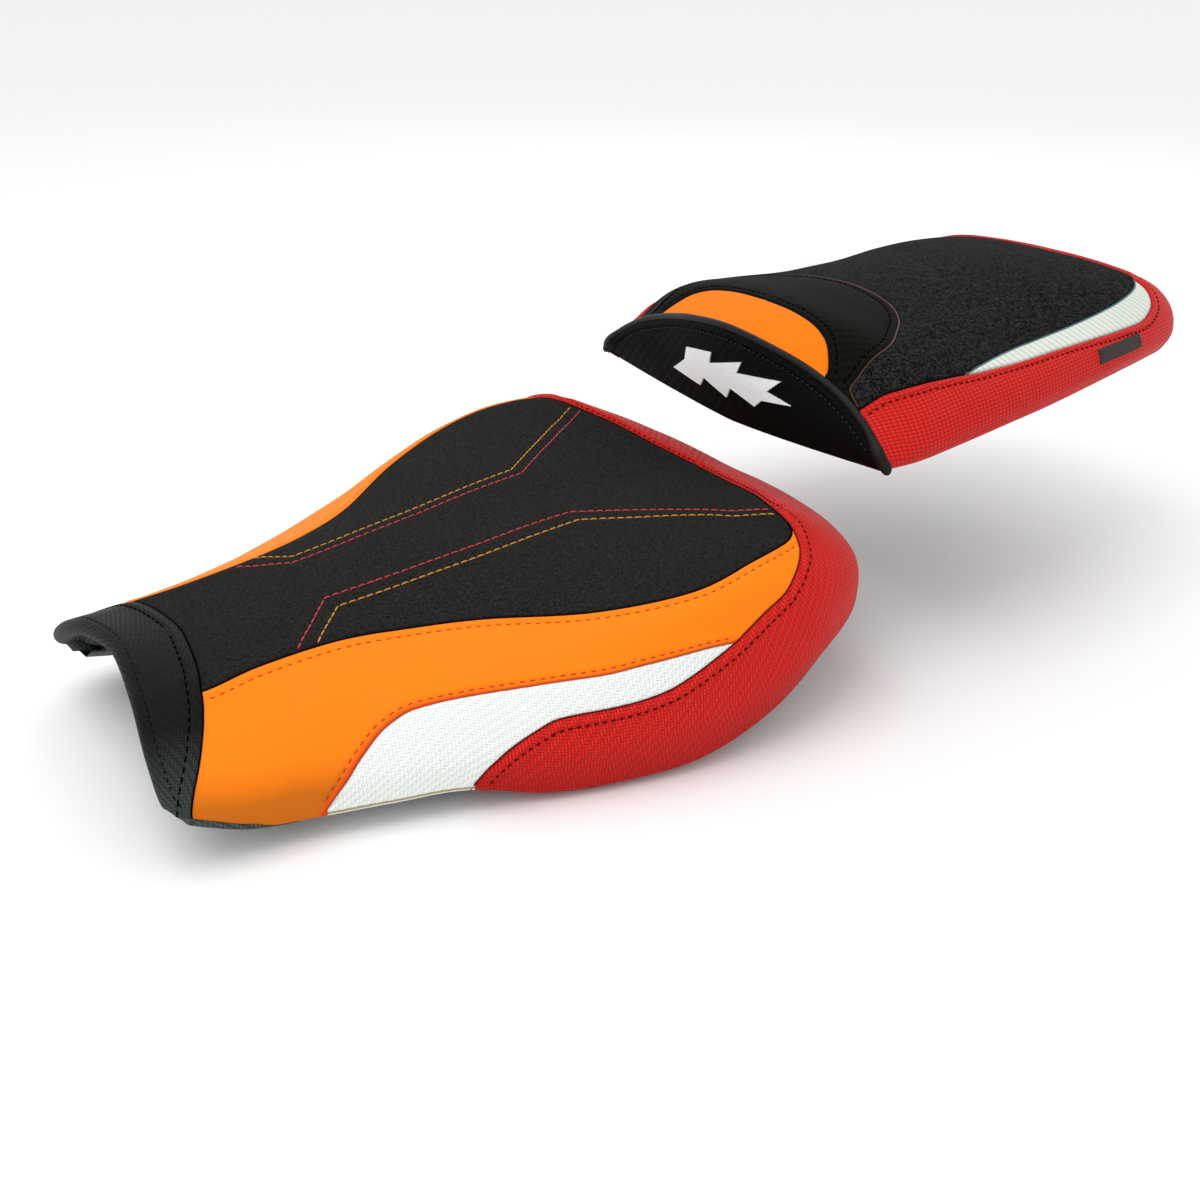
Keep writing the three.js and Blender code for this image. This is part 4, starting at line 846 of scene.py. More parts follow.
class Shader:
    def __init__(self, name):
        self.name = name
        self.material = bpy.data.materials.new(name)
        self.material.use_nodes = True
        self.tree = self.material.node_tree
        self.link = self.tree.links.new
        self.surface = next(n for n in self.tree.nodes if n.type == 'BSDF_PRINCIPLED')
        self.place = None

    def node(self, kind):
        return self.tree.nodes.new('ShaderNode' + kind)

    def position(self):
        """Object position in mm."""
        if self.place is None:
            scale = self.node('VectorMath')
            scale.operation = 'SCALE'
            scale.inputs['Scale'].default_value = 1000
            self.link(self.node('TexCoord').outputs['Object'], scale.inputs[0])
            self.place = scale.outputs[0]
        return self.place

    def split(self, vector):
        parts = self.node('SeparateXYZ')
        self.link(vector, parts.inputs[0])
        return [Value(self.tree, output) for output in parts.outputs]

    def uv(self):
        source = self.node('UVMap')
        source.uv_map = 'fab'
        return self.split(source.outputs[0])[:2]

    def noise(self, size, detail=3.0, rough=0.55):
        node = self.node('TexNoise')
        self.link(self.position(), node.inputs['Vector'])
        node.inputs['Scale'].default_value = 1.0 / size
        node.inputs['Detail'].default_value = detail
        node.inputs['Roughness'].default_value = rough
        return Value(self.tree, node.outputs[0])

    def cells(self, size):
        node = self.node('TexVoronoi')
        self.link(self.position(), node.inputs['Vector'])
        node.inputs['Scale'].default_value = 1.0 / size
        return Value(self.tree, node.outputs['Distance'])

    def attribute(self, name):
        node = self.node('Attribute')
        node.attribute_name = name
        return Value(self.tree, node.outputs['Fac'])

    def twill(self, across, up, pitch, power=0.55, lean=1.0):
        """A 2/2 twill: its height 0..1 and which thread is on top."""
        step = ((across / pitch).floor() + (up / pitch).floor() * lean).mod(4.0)
        top = 1.0 - step.above(1.5)
        warp, weft = across.ribs(pitch) ** power, up.ribs(pitch) ** power
        return warp * top + weft * (1.0 - top), top

    def mix(self, factor, first, second):
        """Blend two colours, each display rgb or a socket."""
        node = self.node('Mix')
        node.data_type = 'RGBA'
        self.link(factor.socket, node.inputs[0])
        for i, color in ((6, first), (7, second)):
            if isinstance(color, tuple):
                node.inputs[i].default_value = linear(color)
            else:
                self.link(color, node.inputs[i])
        return node.outputs[2]

    def seam_shade(self, color, shade, strength, reach=1.2, full=0.0):
        """Painted shade towards the seams, where they sink in, from reach mm away to full mm."""
        edge = self.attribute('edge').ramp(reach, full)
        return self.mix(edge * strength, color, shade)

    def done(self, color, rough, height=None, depth=0.2, metal=0.0, sheen=0.0, spec=0.5):
        """Wire up the surface; depth is the bump's in mm."""
        inputs = self.surface.inputs
        self.link(color, inputs['Base Color'])
        if isinstance(rough, Value):
            self.link(rough.socket, inputs['Roughness'])
        else:
            inputs['Roughness'].default_value = rough
        inputs['Metallic'].default_value = metal
        inputs['Specular IOR Level'].default_value = spec
        inputs['Sheen Weight'].default_value = sheen
        if height is not None:
            bump = self.node('Bump')
            bump.inputs['Strength'].default_value = 1.0
            bump.inputs['Distance'].default_value = depth * MM
            self.link(height.socket, bump.inputs['Height'])
            self.link(bump.outputs[0], inputs['Normal'])
        FINISH[self.name] = self.material


# ------------------------------------------------------------------ materials
def make_suede(name, size, dark, light, depth, contrast, patches):
    shader = Shader(name)
    fine = shader.noise(size=size, detail=2, rough=0.6)
    coarse = shader.noise(size=size * 2.4, detail=3, rough=0.6)
    blotch = shader.noise(size=34, detail=2).ramp(0.35, 0.7)
    color = shader.mix(mixed(fine, coarse, share=0.4).ramp(*contrast), dark, light)
    color = shader.mix(blotch * patches, color, (30, 29, 28))
    color = shader.seam_shade(color, (5, 5, 6), strength=0.7, reach=1.5, full=0.1)
    shader.done(color, rough=0.95, height=mixed(fine, coarse, share=0.4), depth=depth, spec=0.05)


def make_leather(name, base, dark, size, rough, depth, spec=0.35):
    shader = Shader(name)
    grain, small = shader.cells(size=size), shader.cells(size=size * 0.6)
    cloud = shader.noise(size=14, detail=3)
    creases = (grain * 1.35 - 0.35 + cloud * 0.3).clamp()    # darker between the cells
    shader.done(shader.mix(creases, base, dark), rough=cloud * 0.2 + (rough - 0.08),
                height=mixed(1.0 - grain, 1.0 - small, share=0.25), depth=depth, spec=spec)


def make_orange(name, light, dark, patches, seam, reach, rough, spec, shaded=False):
    """Orange hide; the shaded kind has painted shade low down, browner there, and turns redder at
    its lower seam.
    """
    shader = Shader(name)
    grain, cells = shader.noise(size=0.7, detail=3, rough=0.6), shader.cells(size=1.0)
    cloud = shader.noise(size=60, detail=2)
    color = shader.mix((grain * 0.25 + cloud * patches).clamp(), light, dark)
    if shaded:
        waver = shader.noise(size=26, detail=2)
        _, up = shader.uv()
        # painted shade: the side turns browner below about 32 to 17 mm above the rim, with a wavy
        # edge
        low = (up + waver * 6.0).ramp(32, 17)
        color = shader.mix(low * 0.72, color, (176, 94, 10))
        by_seam = shader.attribute('edge_low').ramp(3.4, 1.6)
        color = shader.mix(by_seam * (up.ramp(60, 20) * 0.5 + 0.3), color, (226, 74, 8))
    color = shader.seam_shade(color, (150, 52, 6), strength=seam, reach=reach)
    shader.done(color, rough=rough, height=mixed(grain, 1.0 - cells, share=0.5), depth=0.05,
                spec=spec)


def make_red(name, dark, light, waffle):
    """Red cloth, a waffle or a twill; the twill has painted shade that darkens it towards the
    rim.
    """
    shader = Shader(name)
    across, up = shader.uv()
    fuzz, cloud = shader.noise(size=0.5, detail=2), shader.noise(size=45, detail=2)
    if waffle:
        height = (across.ribs(2.6) * up.ribs(1.9)) ** 0.6
        tone = height
    else:
        height, top = shader.twill(across, up, pitch=1.55, power=0.9, lean=-1.0)
        tone = height * (top * 0.3 + 0.7)
    color = shader.mix((tone * 0.95 + fuzz * 0.1 - 0.05).clamp(), dark, light)
    color = shader.mix((cloud * 0.2).clamp(), color, (178, 18, 14))
    # painted shade: the twill darker towards the rim, where the band turns under
    if not waffle:
        color = shader.mix(up.ramp(26, 3) * 0.45, color, (142, 5, 1))
    color = shader.seam_shade(color, (60, 4, 4), strength=0.6)
    shader.done(color, rough=0.5, height=mixed(height, fuzz, share=0.1), depth=0.36, spec=0.13)


def make_white_twill():
    shader = Shader('white_twill_rider')
    across, up = shader.uv()
    fuzz = shader.noise(size=0.5, detail=2)
    slanted = across - up * 0.45
    height, top = shader.twill(slanted, up, pitch=1.35, power=0.8, lean=-1.0)
    tone = (height * (top * 0.5 + 0.5)).clamp()
    color = shader.mix(tone.ramp(0.0, 0.85), (208, 216, 211), (246, 249, 247))
    color = shader.seam_shade(color, (120, 132, 130), strength=0.5)
    shader.done(color, rough=0.45, height=mixed(height, fuzz, share=0.05), depth=0.2, spec=0.3)


def make_white_rib():
    """Wide ribs crossed by fine ones that slant the other way on every second rib."""
    shader = Shader('white_rib_pillion')
    across, up = shader.uv()
    rib_pitch, fine_pitch = 4.3, 1.5
    rib = across.ribs(rib_pitch) ** 0.6
    slant = (across / rib_pitch).floor().mod(2.0) * 2.0 - 1.0
    fine = (up + slant * across * 0.6).ribs(fine_pitch)
    height = rib * (fine * 0.3 + 0.7)
    color = shader.mix(height.clamp(), (184, 191, 183), (216, 221, 212))
    color = shader.seam_shade(color, (110, 130, 132), strength=0.5)
    shader.done(color, rough=0.5, height=height, depth=0.4, spec=0.2)


def make_weave(name, dark, light, pitch, rough, depth, spec, low=None):
    shader = Shader(name)
    across, up = shader.uv()
    fuzz = shader.noise(size=0.4, detail=2)
    height, top = shader.twill(across, up, pitch=pitch)
    tone = (height * (top * 0.45 + 0.5) + fuzz * 0.1).clamp()
    color = shader.mix(tone, dark, light)
    if low is not None:                  # painted highlight: the grain shows lighter towards the low corners
        z = shader.split(shader.position())[2]
        color = shader.mix(z.ramp(40, 14) * tone * 0.9, color, low)
    color = shader.seam_shade(color, (6, 6, 6), strength=0.6, reach=1.3)
    shader.done(color, rough=rough, height=mixed(height, fuzz, share=0.1), depth=depth, spec=spec)


def make_thread(name, light, rough=0.6, spec=0.3, sheen=0.1):
    shader = Shader(name)
    fuzz = shader.noise(size=0.35, detail=2, rough=0.7)
    patch = shader.noise(size=2.5, detail=1)
    dark = tuple(int(x * 0.62) for x in light)
    color = shader.mix(mixed(fuzz.ramp(0.35, 0.7), patch, share=0.2), dark, light)
    shader.done(color, rough=rough, height=fuzz, depth=0.12, spec=spec, sheen=sheen)


def make_plastic():
    shader = Shader('pan_plastic')
    grain, cells = shader.noise(size=0.5, detail=3, rough=0.65), shader.cells(size=0.9)
    cloud = shader.noise(size=40, detail=2)
    tone = cloud.ramp(0.3, 0.75) * 0.6 + grain * 0.2
    shader.done(shader.mix(tone, (22, 23, 24), (36, 37, 38)), rough=grain * 0.18 + 0.42,
                height=mixed(grain, cells, share=0.5), depth=0.07, spec=0.4)


def make_rubber():
    shader = Shader('rubber')
    grain = shader.noise(size=0.6, detail=3, rough=0.7)
    cloud = shader.noise(size=9, detail=2)
    shader.done(shader.mix(cloud * 0.5 + grain * 0.3, (15, 15, 15), (38, 37, 36)),
                rough=0.82, height=grain, depth=0.1, spec=0.25)


def make_zinc(name, light, rough):
    shader = Shader(name)
    cloud = shader.noise(size=3.2, detail=4, rough=0.6)
    fine, spangle = shader.noise(size=0.35, detail=2), shader.cells(size=4.0)
    dark = tuple(int(x * 0.72) for x in light)
    color = shader.mix((cloud * 0.6 + spangle * 0.35).clamp(), light, dark)
    shader.done(color, rough=cloud * 0.2 + (rough - 0.1), height=fine, depth=0.03, metal=1.0)


def make_foam():
    shader = Shader('foam')
    cells, cloud = shader.cells(size=0.8), shader.noise(size=20, detail=3)
    shader.done(shader.mix(cloud.ramp(0.35, 0.7), (58, 58, 62), (84, 84, 88)),
                rough=0.95, height=cells, depth=0.35, spec=0.1)


def make_tag_cloth():
    shader = Shader('tag_cloth')
    across, up = shader.uv()
    height = mixed(across.ribs(0.55), up.ribs(0.45), share=0.5)
    shader.done(shader.mix(height.clamp(), (22, 14, 12), (52, 36, 32)),
                rough=0.6, height=height, depth=0.1, spec=0.35)


make_suede('suede', size=0.7, dark=(13, 13, 13), light=(47, 46, 44), depth=0.3,
           contrast=(0.38, 0.64), patches=0.3)
make_suede('suede_pillion', size=1.15, dark=(1, 1, 1), light=(45, 46, 46), depth=0.5,
           contrast=(0.42, 0.61), patches=0.1)
# low: the colour of the painted highlight on the grain near the bottom of the nose
make_weave('leather_black', dark=(3, 4, 3), light=(16, 19, 15), pitch=1.5, rough=0.5,
           depth=0.3, spec=0.08, low=(84, 95, 91))
make_weave('arch_weave', dark=(3, 4, 2), light=(16, 18, 11), pitch=1.6, rough=0.65,
           depth=0.25, spec=0.03)
# shaded: painted shade low down on the rider's sides, and redder at the white seam
make_orange('orange', light=(251, 129, 12), dark=(247, 120, 10), patches=0.35, seam=0.55,
            reach=1.3, rough=0.58, spec=0.1, shaded=True)
make_orange('orange_insert', light=(246, 120, 9), dark=(241, 113, 8), patches=0.4, seam=0.5,
            reach=1.2, rough=0.6, spec=0.07)
make_red('red_twill', dark=(146, 9, 5), light=(234, 38, 28), waffle=False)
make_red('red_waffle', dark=(142, 9, 6), light=(228, 37, 28), waffle=True)
make_white_twill()
make_white_rib()
make_weave('fascia_weave', dark=(1, 2, 1), light=(8, 9, 6), pitch=1.9, rough=0.6,
           depth=0.3, spec=0.05)
make_leather('bead_leather', base=(7, 8, 8), dark=(3, 3, 3), size=0.9, rough=0.42,
             depth=0.1, spec=0.2)
make_thread('thread_rose', (230, 60, 72))
make_thread('thread_amber', (240, 164, 50))
make_thread('thread_dark_red', (92, 5, 4), rough=0.7, spec=0.1, sheen=0.0)
make_thread('thread_black', (1, 1, 1), rough=0.9, spec=0.02, sheen=0.0)
make_thread('thread_rust', (220, 62, 2))
make_thread('thread_grey', (56, 58, 58))
make_thread('thread_hem', (16, 19, 17), rough=0.85, spec=0.05, sheen=0.0)
make_thread('thread_wine', (86, 22, 18))
make_thread('thread_slate', (66, 122, 132))
make_thread('thread_tan', (196, 182, 120))
make_plastic()
make_rubber()
make_zinc('zinc', light=(168, 170, 172), rough=0.36)
make_zinc('zinc_dark', light=(120, 121, 122), rough=0.42)
make_foam()
make_tag_cloth()
make_leather('ornament_white', base=(250, 250, 250), dark=(232, 234, 233), size=0.8,
             rough=0.4, depth=0.04)

# ------------------------------------------------------------------ threads and cords
# rings of one stitch: place along it (-1..1) and share of its radius
STITCH_PLACES = np.array([-1, -.86, -.5, 0, .5, .86, 1.0])
STITCH_RADII = np.array([0.05, .62, .96, 1.0, .96, .62, 0.05])
STITCH_SIDES = 6


def stitches(name, lines, finish, seat, slot, pitch, length, width=0.38, high=0.3,
             sink=0.28, jitter=0.05):
    """One short thread per pitch along lines of (points, normals)."""
    vertices, faces = [], []
    rings, sides = len(STITCH_PLACES), STITCH_SIDES
    for points, normals in lines:
        along = arc_length(points)
        if along[-1] < length:
            continue
        for place in np.arange(pitch * 0.5, along[-1] - length * 0.4, pitch):
            place = place + rng.normal(0, jitter)
            long = length * (1 + rng.normal(0, 0.03))
            spine = interp_points(place + STITCH_PLACES * long / 2, along, points)
            up = unit(interp_points([place], along, normals)[0])
            side = unit(np.cross(up, unit(spine[-1] - spine[0])))
            dip = sink * (np.abs(STITCH_PLACES) ** 3)[:, None] * 1.6
            spine = spine + up * (high - dip)
            base = len(vertices)
            for i in range(rings):
                for k in range(sides):
                    angle = 2 * PI * k / sides
                    vertices.append(spine[i] + STITCH_RADII[i] * width * (
                        side * math.cos(angle) + up * math.sin(angle) * 0.85))
            for i in range(rings - 1):
                for k in range(sides):
                    low, after = base + i * sides, (k + 1) % sides
                    faces.append((low + k, low + after, low + sides + after, low + sides + k))
            faces.append(tuple(base + k for k in reversed(range(sides))))
            faces.append(tuple(base + (rings - 1) * sides + k for k in range(sides)))
    mesh = bpy.data.meshes.new(name)
    mesh.from_pydata((np.array(vertices) * MM).tolist(), [], faces)
    add_object(name, mesh, finish, seat)


def stitch_line(key, look, finish, name, slot, **sizes):
    lines = []
    for curve in STITCH_LINES[key]:
        if len(curve) < 3:
            continue
        curve = resample(look.net, curve, 0.8)
        if len(curve) >= 4:
            turn, rise = curve.T
            lines.append((look(turn, rise), look.net.local(turn, rise)[3]))
    stitches(name, lines, finish, look.net.seat, slot, **sizes)


def seam_cord(net, curves, finish, name, radius, sink):
    """A thin cord along each curve, sunk below the surface."""
    grids = []
    angle = np.linspace(0, 2 * np.pi, 7)
    for curve in curves:
        curve = resample(net, curve, 1.6)
        points, _, _, normals = net.local(curve[:, 0], curve[:, 1])
        points = points - normals * sink
        side = np.cross(normals, unit(np.gradient(points, axis=0)))
        rings = points[:, None] + radius * (np.cos(angle)[None, :, None] * side[:, None]
                                            + np.sin(angle)[None, :, None] * normals[:, None])
        uv = uv_grid(arc_length(points), angle * radius)
        grids.append((rings[:, ::-1], uv[:, ::-1]))
    add_grids(name, grids, finish, net.seat)


# ------------------------------------------------------------------ rider seat covers
def rim_crossing(rise_at, start):
    """The turn past start where a seam climbs above the bend at the rim."""
    turn = np.linspace(0.07, 0.2, 4000)
    return float(turn[np.argmax((rise_at(turn) > bend_rise(rider, turn)) & (turn > start))])


WHITE_START = rim_crossing(white_rise, 0.075)
RED_START = rim_crossing(red_rise, 0.144)
FRONT_TURN = 0.0042                      # where the nose cover leaves its front lip
nose_look = Look(rider, ['nose', 'hem'], roll=1.7, depth=1.0)
top_look = Look(rider, ['top_red', 'top_amber'], roll=1.9, depth=1.3, fold=0.0)
side_look = Look(rider, ['side_top', 'side_white'], roll=1.8, depth=1.2)
white_look = Look(rider, [], roll=2.0, depth=1.4)
red_look = Look(rider, ['red'], roll=2.0, depth=1.2, swell=0.6, fold=0.95)


def nose_cover():
    """The band over the front edge, rolled under a lip and back below the pan."""
    length, lip_radius = 24.0, 4.2
    rise = even_rises(rider, turn=0.012, low=0)
    places = spread(length, row_count(length) + 2)
    start = np.minimum(FRONT_TURN, nose_turn(rise) * 0.5)
    turn = start[None] + places[:, None] * (nose_turn(rise) - start)[None]
    body = nose_look(turn, np.repeat(rise[None], len(places), 0))
    front = nose_look(start, rise)
    _, by_turn, _, normals = rider.local(start, rise)
    ahead = -unit(by_turn)
    ahead = unit(ahead - normals * (ahead * normals).sum(1)[:, None])
    lip = [front - normals * lip_radius
           + lip_radius * (normals * math.cos(angle) + ahead * math.sin(angle))
           for angle in np.linspace(PI, 0, 13)[:-1]]
    inward = np.interp(rise, PAN_RISE, PAN_INWARD)

    def below_pan(at, drop=3.1):
        points = rider.pan(0 * rise + at, inward)
        points[:, 2] -= drop
        return points
    rows = [below_pan(0.072, 2.7)]
    rows += [below_pan(at) for at in (0.072, 0.064, 0.056, 0.048, 0.04, 0.033, 0.026)]
    foot = below_pan(0.02, 3.2)
    back = rider.point(0 * rise + 0.014, rise) - normals * 2 * lip_radius
    rows += [foot, foot * 0.6 + back * 0.4 + (0.6, 0, 0), back * 0.7 + foot * 0.3 + (1.0, 0, 0),
             back, lip[0] * 0.5 + back * 0.5]
    rows += lip
    grid = np.concatenate([np.stack(rows), body], 0)
    down = np.concatenate([np.linspace(-70, 0, len(rows), endpoint=False), places * length])
    width = arc_length(front)
    uv = uv_grid(down, width)
    far = grid[:, ::-1][:, 1:] * np.array([1, -1, 1])
    far_uv = uv[:, ::-1][:, 1:].copy()
    far_uv[..., 1] = 2 * width[-1] - far_uv[..., 1]
    whole = (np.concatenate([grid, far], 1), np.concatenate([uv, far_uv], 1))
    add_grids('cover_rider_nose', [whole], 'leather_black', RIDER_SEAT,
              ['rider_nose_band'], rider.edges)


def rider_top_cover():
    columns = even_turns(rider, 0.0, 0.5, 0.72)
    low = top_rise(np.clip(columns, NOSE_CORNER, 0.5))
    turn, rise = rows_between(rider, columns, low, 0 * columns + 1, True, False)
    front = nose_turn(np.clip(rise, 0.5, 1))
    turn = front + (0.5 - front) * (turn / 0.5)
    # rows keep to the seam where the columns were slid back
    low = top_rise(turn[:, 0])[:, None]
    rise = low + (rise - rise[:, :1]) * (1 - low) / (1 - rise[:, :1] + 1e-9)
    add_grids('cover_rider_top', [across(turn, rise, top_look)], 'suede', RIDER_SEAT,
              ['rider_top_panel'], rider.edges)


def side_covers():
    """The orange sides, from the nose seam back to a tip between the top and red seams."""
    columns = even_turns(rider, 0.0, 0.3262, 0.3, True, False)
    columns = np.unique(np.round(np.append(columns, WHITE_START), 7))
    close = np.linspace(0.075, 0.112, 46)
    columns = np.unique(np.concatenate([columns, close]))
    high = top_rise(np.clip(columns, NOSE_CORNER, 0.5))
    seam = np.where(columns < WHITE_END, white_rise(columns), red_rise(columns))
    low = np.maximum(bend_rise(rider, columns) * (columns < 0.3),
                     np.where(columns <= WHITE_START, 0.0, seam))
    turn, rise = rows_between(rider, columns, np.minimum(low, high), high, True, True)
    turn = turn + nose_turn(rise) * np.clip(1 - turn / 0.06, 0, 1)
    high = top_rise(np.clip(turn[:, -1], 0.03, 0.5))
    stretch = (high - rise[:, 0]) / np.maximum(rise[:, -1] - rise[:, 0], 1e-9)
    rise = rise[:, :1] + (rise - rise[:, :1]) * stretch[:, None]
    uv = uv_side(rider, turn, rise, side_look(turn, rise))
    at_rim = (turn[:, 0] <= WHITE_START + 1e-9) & (columns >= 0.03)
    edges = {**rider.edges, 'edge_low': near_lines(rider, both(white_seam), 0.5)}
    for side in ('left', 'right'):
        there = turn if side == 'left' else 1 - turn
        grids = [(side_look(there, rise), uv), under(rider, there[at_rim, 0], side_look)]
        add_grids('cover_rider_side_' + side, grids if side == 'left' else flipped(grids),
                  'orange', RIDER_SEAT, ['rider_side_panel_' + side], edges)


def strip_cover(look, name, span, low_at, high_at, finish, stands, rim=None,
                extra_columns=(), low_is_seam=True, middle=0.2, joined=False):
    """A strip round the side between two rises, turned under over the rim span; its left
    and right parts are two pieces, or one if joined."""
    net = look.net
    columns = even_turns(net, *span, middle, False, False)
    columns = np.unique(np.concatenate([columns, extra_columns]))
    high = high_at(columns)
    low = np.minimum(low_at(columns), high)
    turn, rise = rows_between(net, columns, low, high, low_is_seam, True)

    def half(side):
        there = turn if side == 'left' else 1 - turn
        points = look(there, rise)
        grids = [(points, uv_side(net, turn, rise, points))]
        if rim is not None:
            at_rim = (turn[:, 0] >= rim[0] - 1e-9) & (turn[:, 0] <= rim[1] + 1e-9)
            grids.append(under(net, there[at_rim, 0], look))
        return grids if side == 'left' else flipped(grids)
    if joined:
        parts = [('', half('left') + half('right'))]
    else:
        parts = [('_' + side, half(side)) for side in ('left', 'right')]
    for ending, grids in parts:
        add_grids(name + ending, grids, finish, net.seat, [stands + ending], net.edges)


def front_trim(side):
    """Black leather round the lower front corner and under the front of the side."""
    near_turn = np.linspace(FRONT_TURN, 0.064, 50)
    turn = near_turn if side == 'left' else 1 - near_turn
    bend = bend_rise(rider, near_turn)
    top = 0.10 * np.clip(1 - (near_turn - FRONT_TURN) / 0.052, 0, 1) ** 1.25
    top = np.maximum(top, bend + 0.002)
    lower, _ = under(rider, turn, lambda where, rise: side_look(where, rise, 0.4),
                     reach=15.0, drop=3.45)
    # share of the way up to the top edge, and how far the leather stands off there
    upper = [side_look(turn, bend + (top - bend) * share, lift)
             for share, lift in ((0.4, 0.42), (0.8, 0.42), (1.0, 0.38), (1.05, 0.05))]
    grid = np.concatenate([lower, np.stack(upper, 1)], 1)
    # it narrows away towards its rear end, down to row 6
    narrowing = smoothstep(np.clip((near_turn - 0.034) / 0.03, 0, 1))
    for i in np.nonzero(narrowing > 0)[0]:
        length = arc_length(grid[i])
        end = length[-1] * (1 - narrowing[i]) + length[6] * narrowing[i]
        grid[i] = interp_points(length * end / length[-1], length, grid[i])
    around = arc_length(rider.point(near_turn, 0 * near_turn))
    around = np.repeat(around[:, None], grid.shape[1], 1)
    grids = [(grid, np.stack([around, row_lengths(grid)], -1))]
    add_grids('trim_rider_front_' + side, grids if side == 'left' else flipped(grids),
              'leather_black', RIDER_SEAT,
              edges={'edge': lambda points: np.full(len(points), 9.0)})   # clear of any seam


nose_cover()
rider_top_cover()
side_covers()
red_columns = np.linspace(RED_START, 0.19, CLOSE_COLUMNS)
strip_cover(
    white_look, 'cover_rider_insert', (WHITE_START, WHITE_END),
    low_at=lambda turn: np.where(turn <= RED_START, bend_rise(rider, turn), red_rise(turn)),
    high_at=white_rise, finish='white_twill_rider',
    stands='rider_side_insert', rim=(WHITE_START, RED_START), middle=0.1,
    extra_columns=np.append(np.linspace(WHITE_START, 0.112, CLOSE_COLUMNS), red_columns))
strip_cover(
    red_look, 'cover_rider_rear', (RED_START, 0.5),
    low_at=lambda turn: bend_rise(rider, turn), high_at=red_rise, finish='red_twill',
    stands='rider_rear_band', rim=(RED_START, 0.5), low_is_seam=False,
    extra_columns=np.append(red_columns, np.linspace(0.29, 0.34, CLOSE_COLUMNS)), joined=True)

SIDE_THREAD = dict(pitch=4.5, length=3.0, width=0.27, high=0.22)
BAND_THREAD = dict(pitch=3.9, length=2.1, width=0.5)
TOP_THREAD = dict(pitch=4.4, length=3.9, width=0.42, high=0.45, sink=0.22)
ARCH_THREAD = dict(pitch=4.2, length=3.0, width=0.38)
stitch_line('nose', nose_look, 'thread_black', 'thread_rider_nose', 'leather_black',
            pitch=4.8, length=3.6, width=0.36)
stitch_line('hem', nose_look, 'thread_hem', 'thread_rider_hem', 'leather_black',
            pitch=4.0, length=2.4, width=0.28, high=0.2)
stitch_line('side_top', side_look, 'thread_rust', 'thread_rider_side_upper', 'side_orange',
            **SIDE_THREAD)
stitch_line('side_white', side_look, 'thread_rust', 'thread_rider_side_lower', 'side_orange',
            **SIDE_THREAD)
stitch_line('red', red_look, 'thread_dark_red', 'thread_rider_rear', 'band_red', **BAND_THREAD)
stitch_line('top_red', top_look, 'thread_rose', 'thread_rider_top_inner', 'suede_black',
            **TOP_THREAD)
stitch_line('top_amber', top_look, 'thread_amber', 'thread_rider_top_outer', 'suede_black',
            **TOP_THREAD)

front_trim('left')
front_trim('right')

seam_cord(rider, both(nose_seam, top_seam), 'thread_black', 'seam_rider_top',
          radius=0.55, sink=0.75)
seam_cord(rider, both(white_seam), 'thread_rust', 'seam_rider_insert',
          radius=0.5, sink=0.85)
seam_cord(rider, both(red_seam), 'thread_dark_red', 'seam_rider_rear',
          radius=0.5, sink=0.85)
insert_rim = curve_by_turn(lambda turn: bend_rise(rider, turn, 1.4), WHITE_START, RED_START, 60)
seam_cord(rider, both(insert_rim), 'thread_tan', 'edge_rider_insert',
          radius=0.42, sink=-0.1)

# ------------------------------------------------------------------ pillion seat covers
pillion_top_look = Look(pillion, [], roll=1.9, depth=1.2)
arch_look = Look(pillion, ['arch', 'crescent'], roll=1.6, depth=0.9, fold=0.25)
crescent_look = Look(pillion, [], roll=1.6, depth=0.9)
pillion_white_look = Look(pillion, [], roll=1.8, depth=1.2)
pillion_red_look = Look(pillion, ['pillion_red'], roll=1.9, depth=1.1, swell=0.45, fold=0.65)


def crossing_cover(look, name, inner_at, outer_at, lowest, finish, stands, length,
                   inner_is_seam):
    """A panel from inner to outer turn, with rows that cross the centre plane."""
    rise = even_rises(pillion, turn=0.03, low=lowest)
    extra = lowest + (rise[1] - lowest) * np.array([.1, .25, .5, .75])
    rise = np.unique(np.concatenate([rise, extra]))
    places = spread(length, row_count(length, inner_is_seam), inner_is_seam)
    inner, outer = inner_at(rise), outer_at(rise)
    turn = inner[None] + places[:, None] * (outer - inner)[None]
    grid = across(turn, np.repeat(rise[None], len(places), 0), look)
    add_grids(name, [grid], finish, PILLION_SEAT, [stands], pillion.edges)


def arch_inner(rise):
    return np.where(rise < 0.6, 0.0, crescent_turn(rise))


def pillion_top_cover():
    """Its front edge follows the arch seam and its lower edge the long seam."""
    columns = even_turns(pillion, 0.0, 0.5, 0.75)
    _, rise = rows_between(pillion, np.clip(columns, 0.012, 0.5),
                           pillion_top_rise(np.clip(columns, 0.006, 0.5)), 0 * columns + 1,
                           True, False)
    back = (columns / 0.5)[:, None]
    share = (rise - rise[:, :1]) / (1 - rise[:, :1] + 1e-9)
    seam_rise = 0.409 + share * (1 - 0.409)      # along the arch seam to the centre plane
    turn = arch_turn(seam_rise) * (1 - back) + 0.5 * back
    low = pillion_top_rise(turn[:, 0])[:, None]
    rise = low + share * (1 - low)
    front = np.clip(1 - back / 0.12, 0, 1)
    rise = rise * (1 - front) + seam_rise * front
    turn[0] = arch_turn(rise[0])                 # the first column stays on the seam itself
    add_grids('cover_pillion_top', [across(turn, rise, pillion_top_look)], 'suede_pillion',
              PILLION_SEAT, ['pillion_top_panel'], pillion.edges)


